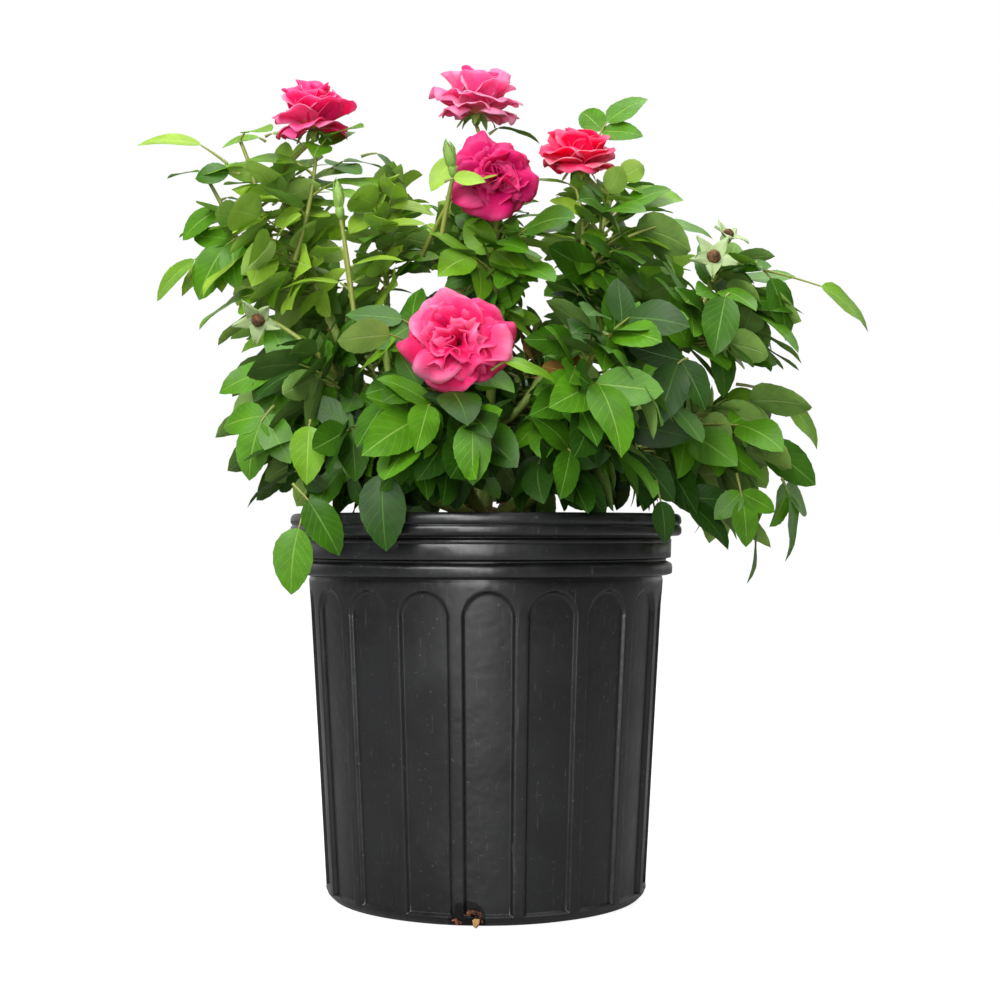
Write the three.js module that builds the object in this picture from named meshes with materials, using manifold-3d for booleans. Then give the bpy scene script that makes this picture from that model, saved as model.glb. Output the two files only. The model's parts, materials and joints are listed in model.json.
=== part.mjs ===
// A rose bush in leaf and flower, in its black moulded nursery pot.
// Millimetres, +Z up. The origin is the centre of the pot's flat underside, and the front faces -Y.
import * as THREE from "three";
import { mergeVertices } from "three/addons/utils/BufferGeometryUtils.js";
import Module from "manifold-3d";

// Gap kept between pieces that touch on the real plant
const CLEARANCE = 0.3;

// The pot: a tapered body with arch-topped flutes, under a stepped collar and a rolled lip
const POT = {
  sides: 36,
  height: 245,
  footRadius: 102.8,
  footRound: 7,
  shoulderRadius: 114,
  shoulderHeight: 203,
  wall: 4,
  floor: 3,
  beadRadius: 120,
  beadFoot: 206.4,
  beadTop: 214.6,
  neckRadius: 116,
  collarRadius: 119.5,
  collarFoot: 217,
  collarTop: 229.6,
  lipRadius: 126,
  lipFoot: 231,
  lipGroove: 237.8,
  lipThickness: 5.6,
};
const FLUTE = { count: 18, first: 1.2, width: 15.4, top: 198, foot: 7, depth: 2, archSteps: 4 };
const DRAIN = { count: 4, first: -5.9, width: 22, height: 16, inward: 14, archSteps: 5 };
const SOIL_TOP = 220;

// The stem base: the knobbly union that the canes spring from, flared where it meets the soil
const BASE = { radius: 20, flareRadius: 27, flareHeight: 4, centreHeight: 10, sides: 16, rings: 5 };

// Canes rise from the stem base, boughs leave a cane, and both taper to where a mass begins
const CANE = {
  footRadius: 4,
  tipRadius: 2.4,
  sides: 6,
  steps: 8,
  rise: 40,
  footPull: 0.3,
  tipPull: 0.35,
};
const BOUGH = {
  footRadius: 2.8,
  tipRadius: 2,
  sides: 5,
  steps: 6,
  footPull: 0.25,
  tipPull: 0.35,
  stand: 0.45,
};
const ENTRY = { share: 0.9, travel: 0.72, step: 0.06, least: 0.3, inside: 4, lift: 0.6 };

// Foliage masses, each round its own heart. A mass with a bearing has a cane that leaves the stem
// base that way, and a mass with a parent has a bough that leaves a ring of the parent's cane.
const MASSES = [
  { name: "right_upper", heart: [140, -16, 354], reach: 82, bearing: 0 },
  { name: "back_right", heart: [88, 106, 350], reach: 104, bearing: 48 },
  { name: "back_upper", heart: [-20, 84, 384], reach: 96, bearing: 98 },
  { name: "back_left", heart: [-102, 102, 344], reach: 100, bearing: 140 },
  { name: "upper_left", heart: [-128, -14, 412], reach: 82, bearing: 186 },
  { name: "front", heart: [-26, -100, 312], reach: 88, bearing: 262 },
  { name: "front_right", heart: [66, -94, 306], reach: 88, bearing: 310 },
  { name: "top_centre", heart: [6, -32, 392], reach: 82, bearing: null },
  { name: "left", heart: [-96, -58, 300], reach: 86, bearing: 224 },
  { name: "upper_right", heart: [76, 0, 402], reach: 84, parent: "top_centre", ring: 4 },
  { name: "right_lower", heart: [142, -4, 280], reach: 88, parent: "right_upper", ring: 3 },
  { name: "back_lower", heart: [-8, 140, 300], reach: 96, parent: "back_upper", ring: 3 },
  { name: "centre", heart: [30, 20, 334], reach: 88, parent: "top_centre", ring: 2 },
  { name: "upper_middle", heart: [-62, -12, 400], reach: 80, parent: "upper_left", ring: 4 },
];

// Leaf tips that mark the crown's furthest points
const TIPS = [
  { mass: "upper_left", at: [-224, 10, 483] },
  { mass: "upper_left", at: [-216, -8, 394] },
  { mass: "upper_right", at: [98, 0, 510] },
  { mass: "top_centre", at: [24, 4, 503] },
  { mass: "right_upper", at: [246, -6, 364] },
  { mass: "right_upper", at: [196, 0, 414] },
  { mass: "right_lower", at: [224, 0, 268] },
  { mass: "right_lower", at: [186, -20, 208] },
  { mass: "left", at: [-121, -98, 199] },
  { mass: "left", at: [-162, -70, 256] },
  { mass: "back_lower", at: [-14, 238, 302] },
  { mass: "back_right", at: [104, 208, 352] },
  { mass: "back_left", at: [-128, 200, 344] },
  { mass: "front_right", at: [74, -186, 300] },
];

// Open blooms: centre, width across, and the way each one faces
const BLOOMS = [
  { mass: "upper_left", at: [-107, -40, 494], width: 50, facing: [-0.1, -0.25, 0.95] },
  { mass: "top_centre", at: [-4, 0, 515], width: 51, facing: [0.25, 0.3, 0.9] },
  { mass: "top_centre", at: [7, -62, 450], width: 53, facing: [0.5, -0.8, 0.05] },
  { mass: "upper_right", at: [58, -10, 477], width: 47, facing: [0.05, -0.2, 0.95] },
  { mass: "front", at: [-16, -134, 343], width: 67, facing: [-0.15, -0.95, 0.25] },
];
const ROSETTE = {
  sides: 10,
  scallop: 0.16,
  // Radius and height of each ring of petals, as shares of the width, from the calyx to the heart
  rings: [
    [0, -0.3],
    [0.2, -0.24],
    [0.42, -0.06],
    [0.5, 0.12],
    [0.3, 0.2],
    [0, 0.26],
  ],
};

// Closed buds and spent blooms, each on its own stalk
const BUDS = [
  { mass: "upper_middle", at: [-89, -72, 438], length: 22 },
  { mass: "top_centre", at: [-18, -66, 458], length: 20 },
  { mass: "right_upper", at: [149, -62, 356], length: 14 },
];
const SPENT = [
  { mass: "right_upper", at: [146, -30, 411], length: 14 },
  { mass: "right_upper", at: [160, -14, 420], length: 12 },
  { mass: "left", at: [-139, -62, 362], length: 14 },
];

const GIRTH = { bud: 0.24, spent: 0.45 };

// Each mass has a leader with leaf sites round it. A leaf is laid along an arch from its site to
// its tip: a twig, then the rachis with its pairs of leaflets, then the end leaflet.
const LEADER = { footRadius: 3, tipRadius: 2.2, steps: 3, lift: 0.5, forward: 0.1 };
const SITES = { leaflets: 27, tries: 80, turn: 137.5, massTurn: 70, low: 0.1, high: 0.97 };
const POSE = {
  footClimb: -0.6,
  topClimb: 0.55,
  outward: 0.35,
  arch: 0.2,
  full: 0.7,
  sizes: [1, 0.85, 0.7],
};
const TWIG = {
  sides: 3,
  footRadius: 1.2,
  tipRadius: 1,
  sink: 0.6,
  march: 4,
  leastReach: 40,
  samples: [0.25, 0.4, 0.55, 0.7, 0.85, 1],
};
const LEAFLET = {
  length: 56,
  width: 0.6,
  widest: 0.45,
  keel: 0.24,
  thickness: 0.035,
  fold: 0.07,
  shareOfArch: 0.62,
  pairLength: 0.88,
  firstPair: 0.22,
  pairSpacing: 0.6,
  pairAngle: 60,
  fewest: 3,
  droop: 0.14,
};
// Low leaves hang and look outwards, and high ones lie level and look up
const LIGHT = { from: 280, to: 450, up: [0.3, 0.9], outward: [0.8, 0.6], aside: [0.7, 0.55] };
const CLEAR = { space: 0.8, limb: 3.5, pot: 2.5, leaf: 3.2, edgeSamples: 4 };

const FRONT = -Math.PI / 2;
const UP = new THREE.Vector3(0, 0, 1);
const CROWN_MIDDLE = new THREE.Vector3(0, 0, 300);
const HUB = new THREE.Vector3(0, 0, SOIL_TOP + CLEARANCE + BASE.centreHeight);

const bark = new THREE.MeshStandardMaterial({ color: 0x7c8a45, roughness: 0.7, metalness: 0 });
const union = new THREE.MeshStandardMaterial({ color: 0x6a5a40, roughness: 0.85, metalness: 0 });
const leafGreen = new THREE.MeshStandardMaterial({ color: 0x3f8a1e, roughness: 0.5, metalness: 0 });
const plastic = new THREE.MeshStandardMaterial({ color: 0x17181a, roughness: 0.45, metalness: 0 });
const mix = new THREE.MeshStandardMaterial({ color: 0x3a2a1d, roughness: 0.95, metalness: 0 });

const manifold = await Module();
manifold.setup();

// A closed geometry as a solid, with its shared vertices merged and its empty triangles left out
function solidOf(geometry) {
  const bare = geometry.clone();
  bare.deleteAttribute("normal");
  bare.deleteAttribute("uv");
  const merged = mergeVertices(bare, 1e-4);
  const kept = [];
  for (let i = 0; i < merged.index.count; i += 3) {
    const [a, b, c] = merged.index.array.slice(i, i + 3);
    if (a !== b && b !== c && c !== a) kept.push(a, b, c);
  }
  const vertProperties = new Float32Array(merged.attributes.position.array);
  return new manifold.Manifold(
    new manifold.Mesh({ numProp: 3, vertProperties, triVerts: new Uint32Array(kept) }),
  );
}

// A solid's outer skin as a geometry: its largest body, without loose scraps and sealed hollows
function geometryOf(solid) {
  const bodies = solid.decompose().sort((a, b) => b.volume() - a.volume());
  const skin = bodies[0].getMesh();
  const geometry = new THREE.BufferGeometry();
  geometry.setAttribute("position", new THREE.BufferAttribute(skin.vertProperties, 3));
  geometry.setIndex(new THREE.BufferAttribute(skin.triVerts, 1));
  return geometry;
}

function namedMesh(name, geometry, material) {
  const mesh = new THREE.Mesh(geometry, material);
  mesh.name = name;
  return mesh;
}

// A solid of revolution about Z. Angle 0 is the front, and angles grow towards +X.
function turned(profile, sides, firstAngle = 0) {
  const points = profile.map(([radius, height]) => new THREE.Vector2(radius, height));
  const start = THREE.MathUtils.degToRad(firstAngle);
  return new THREE.LatheGeometry(points, sides, start).rotateX(Math.PI / 2);
}

// An outline across the front, pushed outwards between two radii and turned to an angle
function radialPrism(shape, fromRadius, toRadius, angle, curveSegments) {
  const depth = toRadius - fromRadius;
  return new THREE.ExtrudeGeometry(shape, { depth, bevelEnabled: false, curveSegments })
    .translate(0, 0, fromRadius)
    .rotateX(Math.PI / 2)
    .rotateZ(THREE.MathUtils.degToRad(angle));
}

// The pot's outer wall radius at a height, below the collar
function bodyRadius(z) {
  return THREE.MathUtils.mapLinear(z, 0, POT.shoulderHeight, POT.footRadius, POT.shoulderRadius);
}

// The pot's inner wall radius: the body's wall, then a straight flare inside the collar
function innerRadius(z) {
  if (z <= POT.shoulderHeight) return bodyRadius(z) - POT.wall;
  const share = (z - POT.shoulderHeight) / (POT.collarTop - POT.shoulderHeight);
  return THREE.MathUtils.lerp(POT.shoulderRadius, POT.collarRadius + 0.5, share) - POT.wall;
}

function potProfile() {
  const bottom = [[0, 0]];
  for (const turn of [0, 30, 60]) {
    const angle = THREE.MathUtils.degToRad(turn);
    const radius = bodyRadius(POT.footRound) - POT.footRound * (1 - Math.sin(angle));
    bottom.push([radius, POT.footRound * (1 - Math.cos(angle))]);
  }
  const outer = [];
  const inner = [];
  for (const z of [POT.footRound, POT.shoulderHeight]) outer.push([bodyRadius(z), z]);
  for (const z of [POT.collarTop, POT.shoulderHeight, POT.floor]) inner.push([innerRadius(z), z]);
  const beads = [
    [POT.shoulderRadius - 0.8, POT.beadFoot - 0.6],
    [POT.beadRadius - 1.4, POT.beadFoot],
    [POT.beadRadius, POT.beadFoot + 1.6],
    [POT.beadRadius, POT.beadTop - 3.4],
    [POT.neckRadius, POT.beadTop],
    [POT.collarRadius - 0.2, POT.collarFoot],
    [POT.collarRadius, POT.collarTop - 1],
    [POT.collarRadius - 1, POT.collarTop],
  ];
  const lip = [
    [POT.lipRadius - 1, POT.lipFoot],
    [POT.lipRadius, POT.lipFoot + 2],
    [POT.lipRadius, POT.lipGroove - 1.6],
    [POT.lipRadius - 1.1, POT.lipGroove],
    [POT.lipRadius, POT.lipGroove + 2],
    [POT.lipRadius - 2.2, POT.height],
    [POT.lipRadius - POT.lipThickness + 1, POT.height],
    [POT.lipRadius - POT.lipThickness, POT.height - 1.6],
  ];
  return [...bottom, ...outer, ...beads, ...lip, ...inner, [0, POT.floor]];
}

// One flute's outline: sides that follow the taper, and a half-round top
function fluteOutline() {
  const half = Math.sin(THREE.MathUtils.degToRad(FLUTE.width / 2));
  const archRadius = bodyRadius(FLUTE.top) * half;
  const footHalf = bodyRadius(FLUTE.foot) * half;
  const spring = FLUTE.top - archRadius;
  const outline = new THREE.Shape();
  outline.moveTo(-footHalf, FLUTE.foot);
  outline.lineTo(footHalf, FLUTE.foot);
  outline.lineTo(archRadius, spring);
  outline.absarc(0, spring, archRadius, 0, Math.PI, false);
  outline.closePath();
  return outline;
}

function drainOutline() {
  const radius = DRAIN.width / 2;
  const outline = new THREE.Shape();
  outline.moveTo(-radius, -1);
  outline.lineTo(radius, -1);
  outline.lineTo(radius, DRAIN.height - radius);
  outline.absarc(0, DRAIN.height - radius, radius, 0, Math.PI, false);
  outline.closePath();
  return outline;
}

function potGeometry() {
  const shell = solidOf(turned(potProfile(), POT.sides, FLUTE.first));
  const floorProfile = [
    [0, 0],
    [bodyRadius(0) - FLUTE.depth, 0],
    [bodyRadius(POT.shoulderHeight) - FLUTE.depth, POT.shoulderHeight],
    [0, POT.shoulderHeight],
  ];
  const fluteFloor = solidOf(turned(floorProfile, POT.sides, FLUTE.first));
  const cuts = [];
  for (let i = 0; i < FLUTE.count; i++) {
    const angle = FLUTE.first + (i * 360) / FLUTE.count;
    const panel = radialPrism(fluteOutline(), POT.footRadius - 12, POT.lipRadius, angle, FLUTE.archSteps);
    cuts.push(solidOf(panel).subtract(fluteFloor));
  }
  for (let i = 0; i < DRAIN.count; i++) {
    const angle = DRAIN.first + (i * 360) / DRAIN.count;
    const from = POT.footRadius - DRAIN.inward;
    const hole = radialPrism(drainOutline(), from, POT.lipRadius, angle, DRAIN.archSteps);
    cuts.push(solidOf(hole));
  }
  return geometryOf(shell.subtract(manifold.Manifold.union(cuts)));
}

// The potting mix fills the pot to a flat top, clear of the wall
function soilGeometry() {
  const foot = POT.floor + CLEARANCE;
  const profile = [[0, foot]];
  for (const z of [foot, POT.shoulderHeight, SOIL_TOP]) {
    profile.push([innerRadius(z) - CLEARANCE - 0.05, z]);
  }
  profile.push([0, SOIL_TOP]);
  return turned(profile, POT.sides, FLUTE.first);
}

function stemBaseGeometry() {
  const cut = SOIL_TOP + CLEARANCE;
  const profile = [
    [0, cut],
    [BASE.flareRadius, cut],
    [BASE.radius + 1.6, cut + BASE.flareHeight],
  ];
  for (let ring = 0; ring < BASE.rings; ring++) {
    const angle = THREE.MathUtils.degToRad((90 * ring) / BASE.rings);
    profile.push([BASE.radius * Math.cos(angle), HUB.z + BASE.radius * Math.sin(angle)]);
  }
  profile.push([0, HUB.z + BASE.radius]);
  return turned(profile, BASE.sides);
}

// A closed tube through some shares of a curve, tapering evenly, with a flat cut at each end
function taperedTube(curve, shares, footRadius, tipRadius, sides) {
  const steps = shares.length - 1;
  const positions = [];
  const index = [];
  let tangent = curve.getTangent(shares[0]);
  const across = new THREE.Vector3(-tangent.y, tangent.x, 0.001);
  across.addScaledVector(tangent, -across.dot(tangent)).normalize();
  for (let step = 0; step <= steps; step++) {
    const centre = curve.getPoint(shares[step]);
    const next = curve.getTangent(shares[step]);
    across.applyQuaternion(new THREE.Quaternion().setFromUnitVectors(tangent, next));
    tangent = next;
    const over = tangent.clone().cross(across);
    const radius = THREE.MathUtils.lerp(footRadius, tipRadius, step / steps);
    for (let side = 0; side < sides; side++) {
      const angle = Math.PI / 2 + (2 * Math.PI * side) / sides;
      const corner = centre.clone();
      corner.addScaledVector(across, radius * Math.cos(angle));
      corner.addScaledVector(over, radius * Math.sin(angle));
      positions.push(corner.x, corner.y, corner.z);
    }
  }
  for (let step = 0; step < steps; step++) {
    for (let side = 0; side < sides; side++) {
      const a = step * sides + side;
      const b = step * sides + ((side + 1) % sides);
      index.push(a, b, b + sides, a, b + sides, a + sides);
    }
  }
  const last = steps * sides;
  for (let side = 1; side < sides - 1; side++) {
    index.push(0, side + 1, side, last, last + side, last + side + 1);
  }
  const tube = new THREE.BufferGeometry();
  tube.setAttribute("position", new THREE.Float32BufferAttribute(positions, 3));
  tube.setIndex(index);
  return tube;
}

function evenShares(steps) {
  return Array.from({ length: steps + 1 }, (_, step) => step / steps);
}

// How far a point lies on a mass's own side of the plane that parts it from another mass
function ownSide(point, mass, other) {
  const own = point.distanceToSquared(mass.heart) - mass.reach ** 2;
  const others = point.distanceToSquared(other.heart) - other.reach ** 2;
  return (others - own) / (2 * mass.heart.distanceTo(other.heart));
}

function inCell(point, mass, margin) {
  return masses.every((other) => other === mass || ownSide(point, mass, other) > margin);
}

// A mass's space is the part of a ball round its heart that lies in its own cell
function inSpace(point, mass) {
  return point.distanceTo(mass.heart) < mass.reach && inCell(point, mass, CLEAR.space);
}

// A limb is a cubic curve that leaves its foot one way and reaches its tip another way
function limbCurve(foot, footWay, tip, tipWay, form) {
  const span = foot.distanceTo(tip);
  const control = foot.clone().addScaledVector(footWay, span * form.footPull);
  const approach = tip.clone().addScaledVector(tipWay, -span * form.tipPull);
  return new THREE.CubicBezierCurve3(foot, control, approach, tip);
}

// The point where a limb enters its mass, and the way it points there
function massEntry(mass, from) {
  const inward = mass.heart.clone().sub(from).normalize();
  const farthest = ENTRY.travel * mass.heart.distanceTo(from);
  let depth = Math.min(ENTRY.share * mass.reach, farthest);
  let tip = mass.heart.clone().addScaledVector(inward, -depth);
  while (depth > ENTRY.least * mass.reach && !inCell(tip, mass, ENTRY.inside)) {
    depth -= ENTRY.step * mass.reach;
    tip = mass.heart.clone().addScaledVector(inward, -depth);
  }
  const way = inward.clone().addScaledVector(UP, ENTRY.lift).normalize();
  return { tip, way };
}

function caneFor(mass) {
  const rise = THREE.MathUtils.degToRad(mass.bearing === null ? 90 : CANE.rise);
  const bearing = THREE.MathUtils.degToRad(mass.bearing ?? 0);
  const way = new THREE.Vector3(
    Math.cos(bearing) * Math.cos(rise),
    Math.sin(bearing) * Math.cos(rise),
    Math.sin(rise),
  );
  const foot = HUB.clone().addScaledVector(way, BASE.radius + CLEARANCE);
  const entry = massEntry(mass, HUB);
  return { form: CANE, curve: limbCurve(foot, way, entry.tip, entry.way, CANE), entry };
}

function boughFor(mass, parent) {
  const share = mass.ring / CANE.steps;
  const root = parent.curve.getPoint(share);
  const along = parent.curve.getTangent(share);
  const way = mass.heart.clone().sub(root);
  way.addScaledVector(along, -way.dot(along)).normalize();
  const parentRadius = THREE.MathUtils.lerp(CANE.footRadius, CANE.tipRadius, share);
  const foot = root.clone().addScaledVector(way, parentRadius + BOUGH.stand);
  const entry = massEntry(mass, root);
  return { form: BOUGH, curve: limbCurve(foot, way, entry.tip, entry.way, BOUGH), entry };
}

// Points on each limb's centre line with its radius there, for keeping leaves off it
function limbBeads(limb) {
  const count = Math.ceil(limb.curve.getLength() / CLEAR.limb);
  const beads = [];
  for (let i = 0; i <= count; i++) {
    const radius = THREE.MathUtils.lerp(limb.form.footRadius, limb.form.tipRadius, i / count);
    beads.push({ at: limb.curve.getPoint(i / count), radius });
  }
  return beads;
}

function clearOfLimbs(point) {
  return limbBeadList.every((bead) => point.distanceTo(bead.at) > bead.radius + CLEAR.limb);
}

function clearOfPot(point) {
  const beside = Math.hypot(point.x, point.y) > POT.lipRadius + CLEAR.pot;
  return beside || point.z > POT.height + CLEAR.pot;
}

function fits(points, mass, space) {
  return points.every((p) => space(p, mass) && clearOfLimbs(p) && clearOfPot(p));
}

// Even draws between 0 and 1 from a seed, the same on any machine
function drawsFrom(seed) {
  let state = seed;
  return () => {
    state = (state * 16807) % 2147483647;
    return state / 2147483647;
  };
}

// The part of 0 to 1 that the next site takes, so that any number of sites lies evenly
function evenShare(index) {
  let share = 0;
  let step = 0.5;
  for (let rest = index; rest > 0; rest = Math.floor(rest / 2)) {
    share += (rest % 2) * step;
    step /= 2;
  }
  return share;
}

function archTo(start, end, arch) {
  const middle = start.clone().lerp(end, 0.5);
  middle.z += arch * start.distanceTo(end);
  return new THREE.QuadraticBezierCurve3(start, middle, end);
}

// The way a leaf's upper face looks: up, out of the crown, and a little to one side
function lightAt(point, bearing) {
  const rise = THREE.MathUtils.mapLinear(point.z, LIGHT.from, LIGHT.to, 0, 1);
  const share = THREE.MathUtils.clamp(rise, 0, 1);
  const outward = new THREE.Vector3(point.x, point.y, 0).normalize();
  const aside = new THREE.Vector3(Math.cos(bearing), Math.sin(bearing), 0);
  return new THREE.Vector3()
    .addScaledVector(UP, THREE.MathUtils.lerp(...LIGHT.up, share))
    .addScaledVector(outward, THREE.MathUtils.lerp(...LIGHT.outward, share))
    .addScaledVector(aside, THREE.MathUtils.lerp(...LIGHT.aside, share))
    .normalize();
}

// A leaflet's six corners: root, tip, two sides, and the blade's upper and lower middle
function leafletCorners(root, tip, light) {
  const along = tip.clone().sub(root);
  const length = along.length();
  along.normalize();
  const side = along.clone().cross(light).normalize();
  const upper = side.clone().cross(along).normalize();
  const place = (share, across, above) =>
    root
      .clone()
      .addScaledVector(along, share * length)
      .addScaledVector(side, across * length)
      .addScaledVector(upper, above * length);
  const half = LEAFLET.width / 2;
  return [
    root,
    tip,
    place(LEAFLET.widest, half, LEAFLET.fold),
    place(LEAFLET.widest, -half, LEAFLET.fold),
    place(LEAFLET.widest, 0, LEAFLET.fold / 2),
    place(LEAFLET.keel, 0, -LEAFLET.thickness),
  ];
}

const LEAFLET_FACES = [
  [0, 2, 4],
  [2, 1, 4],
  [1, 3, 4],
  [3, 0, 4],
  [2, 0, 5],
  [1, 2, 5],
  [3, 1, 5],
  [0, 3, 5],
];

const LEAFLET_EDGES = [
  [0, 2],
  [2, 1],
  [1, 3],
  [3, 0],
  [4, 0],
  [4, 1],
  [4, 2],
  [4, 3],
];

function leafletSolid(corners) {
  const geometry = new THREE.BufferGeometry().setFromPoints(corners);
  geometry.setIndex(LEAFLET_FACES.flat());
  return solidOf(geometry);
}

// Points along a leaflet's outline and folds, for the tests of where it lies
function samplesOf(corners) {
  const samples = [corners[5]];
  for (const [a, b] of LEAFLET_EDGES) {
    for (let i = 0; i < CLEAR.edgeSamples; i++) {
      samples.push(corners[a].clone().lerp(corners[b], i / CLEAR.edgeSamples));
    }
  }
  return samples;
}

// The leaflets of one compound leaf along its arch: the end leaflet, then pairs towards the foot
function leafletsAlong(path, { pairs, size, bearing }) {
  const span = path.v0.distanceTo(path.v2);
  const length = Math.min(LEAFLET.length * size, span * LEAFLET.shareOfArch);
  const endRoot = 1 - length / span;
  const light = lightAt(path.v2, bearing);
  const leaflets = [leafletCorners(path.getPoint(endRoot), path.getPoint(1), light)];
  const joints = [endRoot + TWIG.sink / span];
  const angle = THREE.MathUtils.degToRad(LEAFLET.pairAngle);
  for (let pair = 0; pair < pairs; pair++) {
    const at = endRoot - ((LEAFLET.firstPair + pair * LEAFLET.pairSpacing) * length) / span;
    if (at < 0.1) break;
    joints.unshift(at);
    const root = path.getPoint(at);
    const along = path.getTangent(at);
    const side = along.clone().cross(light).normalize();
    for (const hand of [1, -1]) {
      const way = along.clone().multiplyScalar(Math.cos(angle));
      way.addScaledVector(side, hand * Math.sin(angle)).addScaledVector(UP, -LEAFLET.droop);
      const tip = root.clone().addScaledVector(way.normalize(), length * LEAFLET.pairLength);
      leaflets.push(leafletCorners(root, tip, light));
    }
  }
  return { joints, leaflets };
}

function clearOf(taken, samples) {
  return samples.every((point) => taken.every((other) => point.distanceTo(other) > CLEAR.leaf));
}

// A compound leaf from its foot to its tip, as far as it fits its space and hangs free of the leaves
// before it. It is left out where its twig or its end leaflet can't, or too few of its leaflets can.
function leafSolids(mass, foot, tip, form, taken) {
  const path = archTo(foot, tip, POSE.arch);
  const { joints, leaflets } = leafletsAlong(path, form);
  const line = TWIG.samples.map((share) => path.getPoint(share * joints.at(-1)));
  if (!fits(line, mass, form.space) || !clearOf(taken, line)) return [];
  const kept = leaflets.filter((corners) => {
    const samples = samplesOf(corners);
    return fits(samples, mass, form.space) && clearOf(taken, samples);
  });
  if (kept[0] !== leaflets[0] || kept.length < form.fewest) return [];
  taken.push(...line, ...kept.flatMap(samplesOf));
  const twig = taperedTube(path, [0, ...joints], TWIG.footRadius, TWIG.tipRadius, TWIG.sides);
  return [solidOf(twig), ...kept.map(leafletSolid)];
}

// The distance from a point to the edge of its mass's space
function edgeDistance(start, way, mass) {
  let distance = 0;
  while (inSpace(start.clone().addScaledVector(way, distance + TWIG.march), mass)) {
    distance += TWIG.march;
  }
  return distance;
}

// The leaf at a site of the leader, tried at smaller sizes until one fits
function siteSolids(mass, leader, site, taken) {
  const draw = drawsFrom(mass.seed + site * 7919);
  const share = THREE.MathUtils.lerp(SITES.low, SITES.high, evenShare(site));
  const start = leader.getPoint(share);
  const turn = THREE.MathUtils.degToRad(mass.order * SITES.massTurn + site * SITES.turn);
  const climb = THREE.MathUtils.mapLinear(share, SITES.low, SITES.high, POSE.footClimb, POSE.topClimb);
  const level = Math.sqrt(1 - climb ** 2);
  const way = new THREE.Vector3(Math.cos(turn) * level, Math.sin(turn) * level, climb);
  way.addScaledVector(mass.outward, POSE.outward).normalize();
  const reach = edgeDistance(start, way, mass) * THREE.MathUtils.lerp(POSE.full, 1, draw());
  const bearing = 2 * Math.PI * draw();
  for (const size of POSE.sizes) {
    if (reach * size < TWIG.leastReach) return [];
    const tip = start.clone().addScaledVector(way, reach * size);
    const form = { pairs: 2, size, bearing, space: inSpace, fewest: LEAFLET.fewest };
    const solids = leafSolids(mass, start, tip, form, taken);
    if (solids.length) return solids;
  }
  return [];
}

// A stalk from the nearest part of the leader to a bloom, a bud or a spent bloom
function stalkTo(leader, end) {
  let start = leader.getPoint(0);
  for (let share = 0.1; share <= 1; share += 0.1) {
    const point = leader.getPoint(share);
    if (point.distanceTo(end) < start.distanceTo(end)) start = point;
  }
  const path = archTo(start, end, 0.1);
  return solidOf(taperedTube(path, evenShares(2), TWIG.footRadius, TWIG.tipRadius, TWIG.sides));
}

// A cupped rosette whose outline is scalloped by its petals, turned to face its own way
function bloomSolids(bloom, leader) {
  const way = new THREE.Vector3(...bloom.facing).normalize();
  const centre = new THREE.Vector3(...bloom.at);
  const rings = ROSETTE.rings.map(([radius, height]) => [radius * bloom.width, height * bloom.width]);
  const rosette = turned(rings, ROSETTE.sides);
  const corners = rosette.attributes.position;
  for (let i = 0; i < corners.count; i++) {
    const column = Math.floor(i / rings.length) % 2;
    const share = 1 - column * ROSETTE.scallop;
    corners.setXYZ(i, corners.getX(i) * share, corners.getY(i) * share, corners.getZ(i));
  }
  rosette.applyQuaternion(new THREE.Quaternion().setFromUnitVectors(UP, way));
  rosette.translate(centre.x, centre.y, centre.z);
  const calyx = centre.clone().addScaledVector(way, (ROSETTE.rings[0][1] + 0.03) * bloom.width);
  return [stalkTo(leader, calyx), solidOf(rosette)];
}

// A pointed eight-sided body, slim for a bud and stout for a spent bloom, on its stalk
function budSolids(bud, leader, girth) {
  const centre = new THREE.Vector3(...bud.at);
  const body = new THREE.OctahedronGeometry(1, 0);
  body.scale(bud.length * girth, bud.length * girth, bud.length / 2);
  body.translate(centre.x, centre.y, centre.z);
  const foot = centre.clone().addScaledVector(UP, 1 - bud.length / 2);
  return [stalkTo(leader, foot), solidOf(body)];
}

function leaderFor(mass, limb) {
  const foot = limb.entry.tip.clone().addScaledVector(limb.entry.way, CLEARANCE);
  const top = mass.heart.clone().addScaledVector(UP, LEADER.lift * mass.reach);
  top.addScaledVector(mass.outward, LEADER.forward * mass.reach);
  while (!inCell(top, mass, ENTRY.inside)) top.lerp(mass.heart, 0.2);
  const control = foot.clone().addScaledVector(limb.entry.way, foot.distanceTo(top) * 0.45);
  return new THREE.QuadraticBezierCurve3(foot, control, top);
}

function foliageGeometry(mass, limb) {
  const leader = leaderFor(mass, limb);
  const shares = evenShares(LEADER.steps);
  const stem = taperedTube(leader, shares, LEADER.footRadius, LEADER.tipRadius, TWIG.sides);
  const solids = [solidOf(stem)];
  const taken = [];
  const own = (entry) => entry.mass === mass.name;
  for (const bloom of BLOOMS.filter(own)) solids.push(...bloomSolids(bloom, leader));
  for (const bud of BUDS.filter(own)) solids.push(...budSolids(bud, leader, GIRTH.bud));
  for (const hip of SPENT.filter(own)) solids.push(...budSolids(hip, leader, GIRTH.spent));
  const ownCell = (point) => inCell(point, mass, CLEAR.space);
  const form = { pairs: 2, size: 1, bearing: FRONT, space: ownCell, fewest: 1 };
  for (const { at } of TIPS.filter(own)) {
    const tip = new THREE.Vector3(...at);
    solids.push(...leafSolids(mass, leader.getPoint(0.6), tip, form, taken));
  }
  let leaflets = 0;
  for (let site = 1; leaflets < SITES.leaflets && site <= SITES.tries; site++) {
    const leaf = siteSolids(mass, leader, site, taken);
    solids.push(...leaf);
    leaflets += Math.max(leaf.length - 1, 0);
  }
  return geometryOf(manifold.Manifold.union(solids));
}

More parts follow.
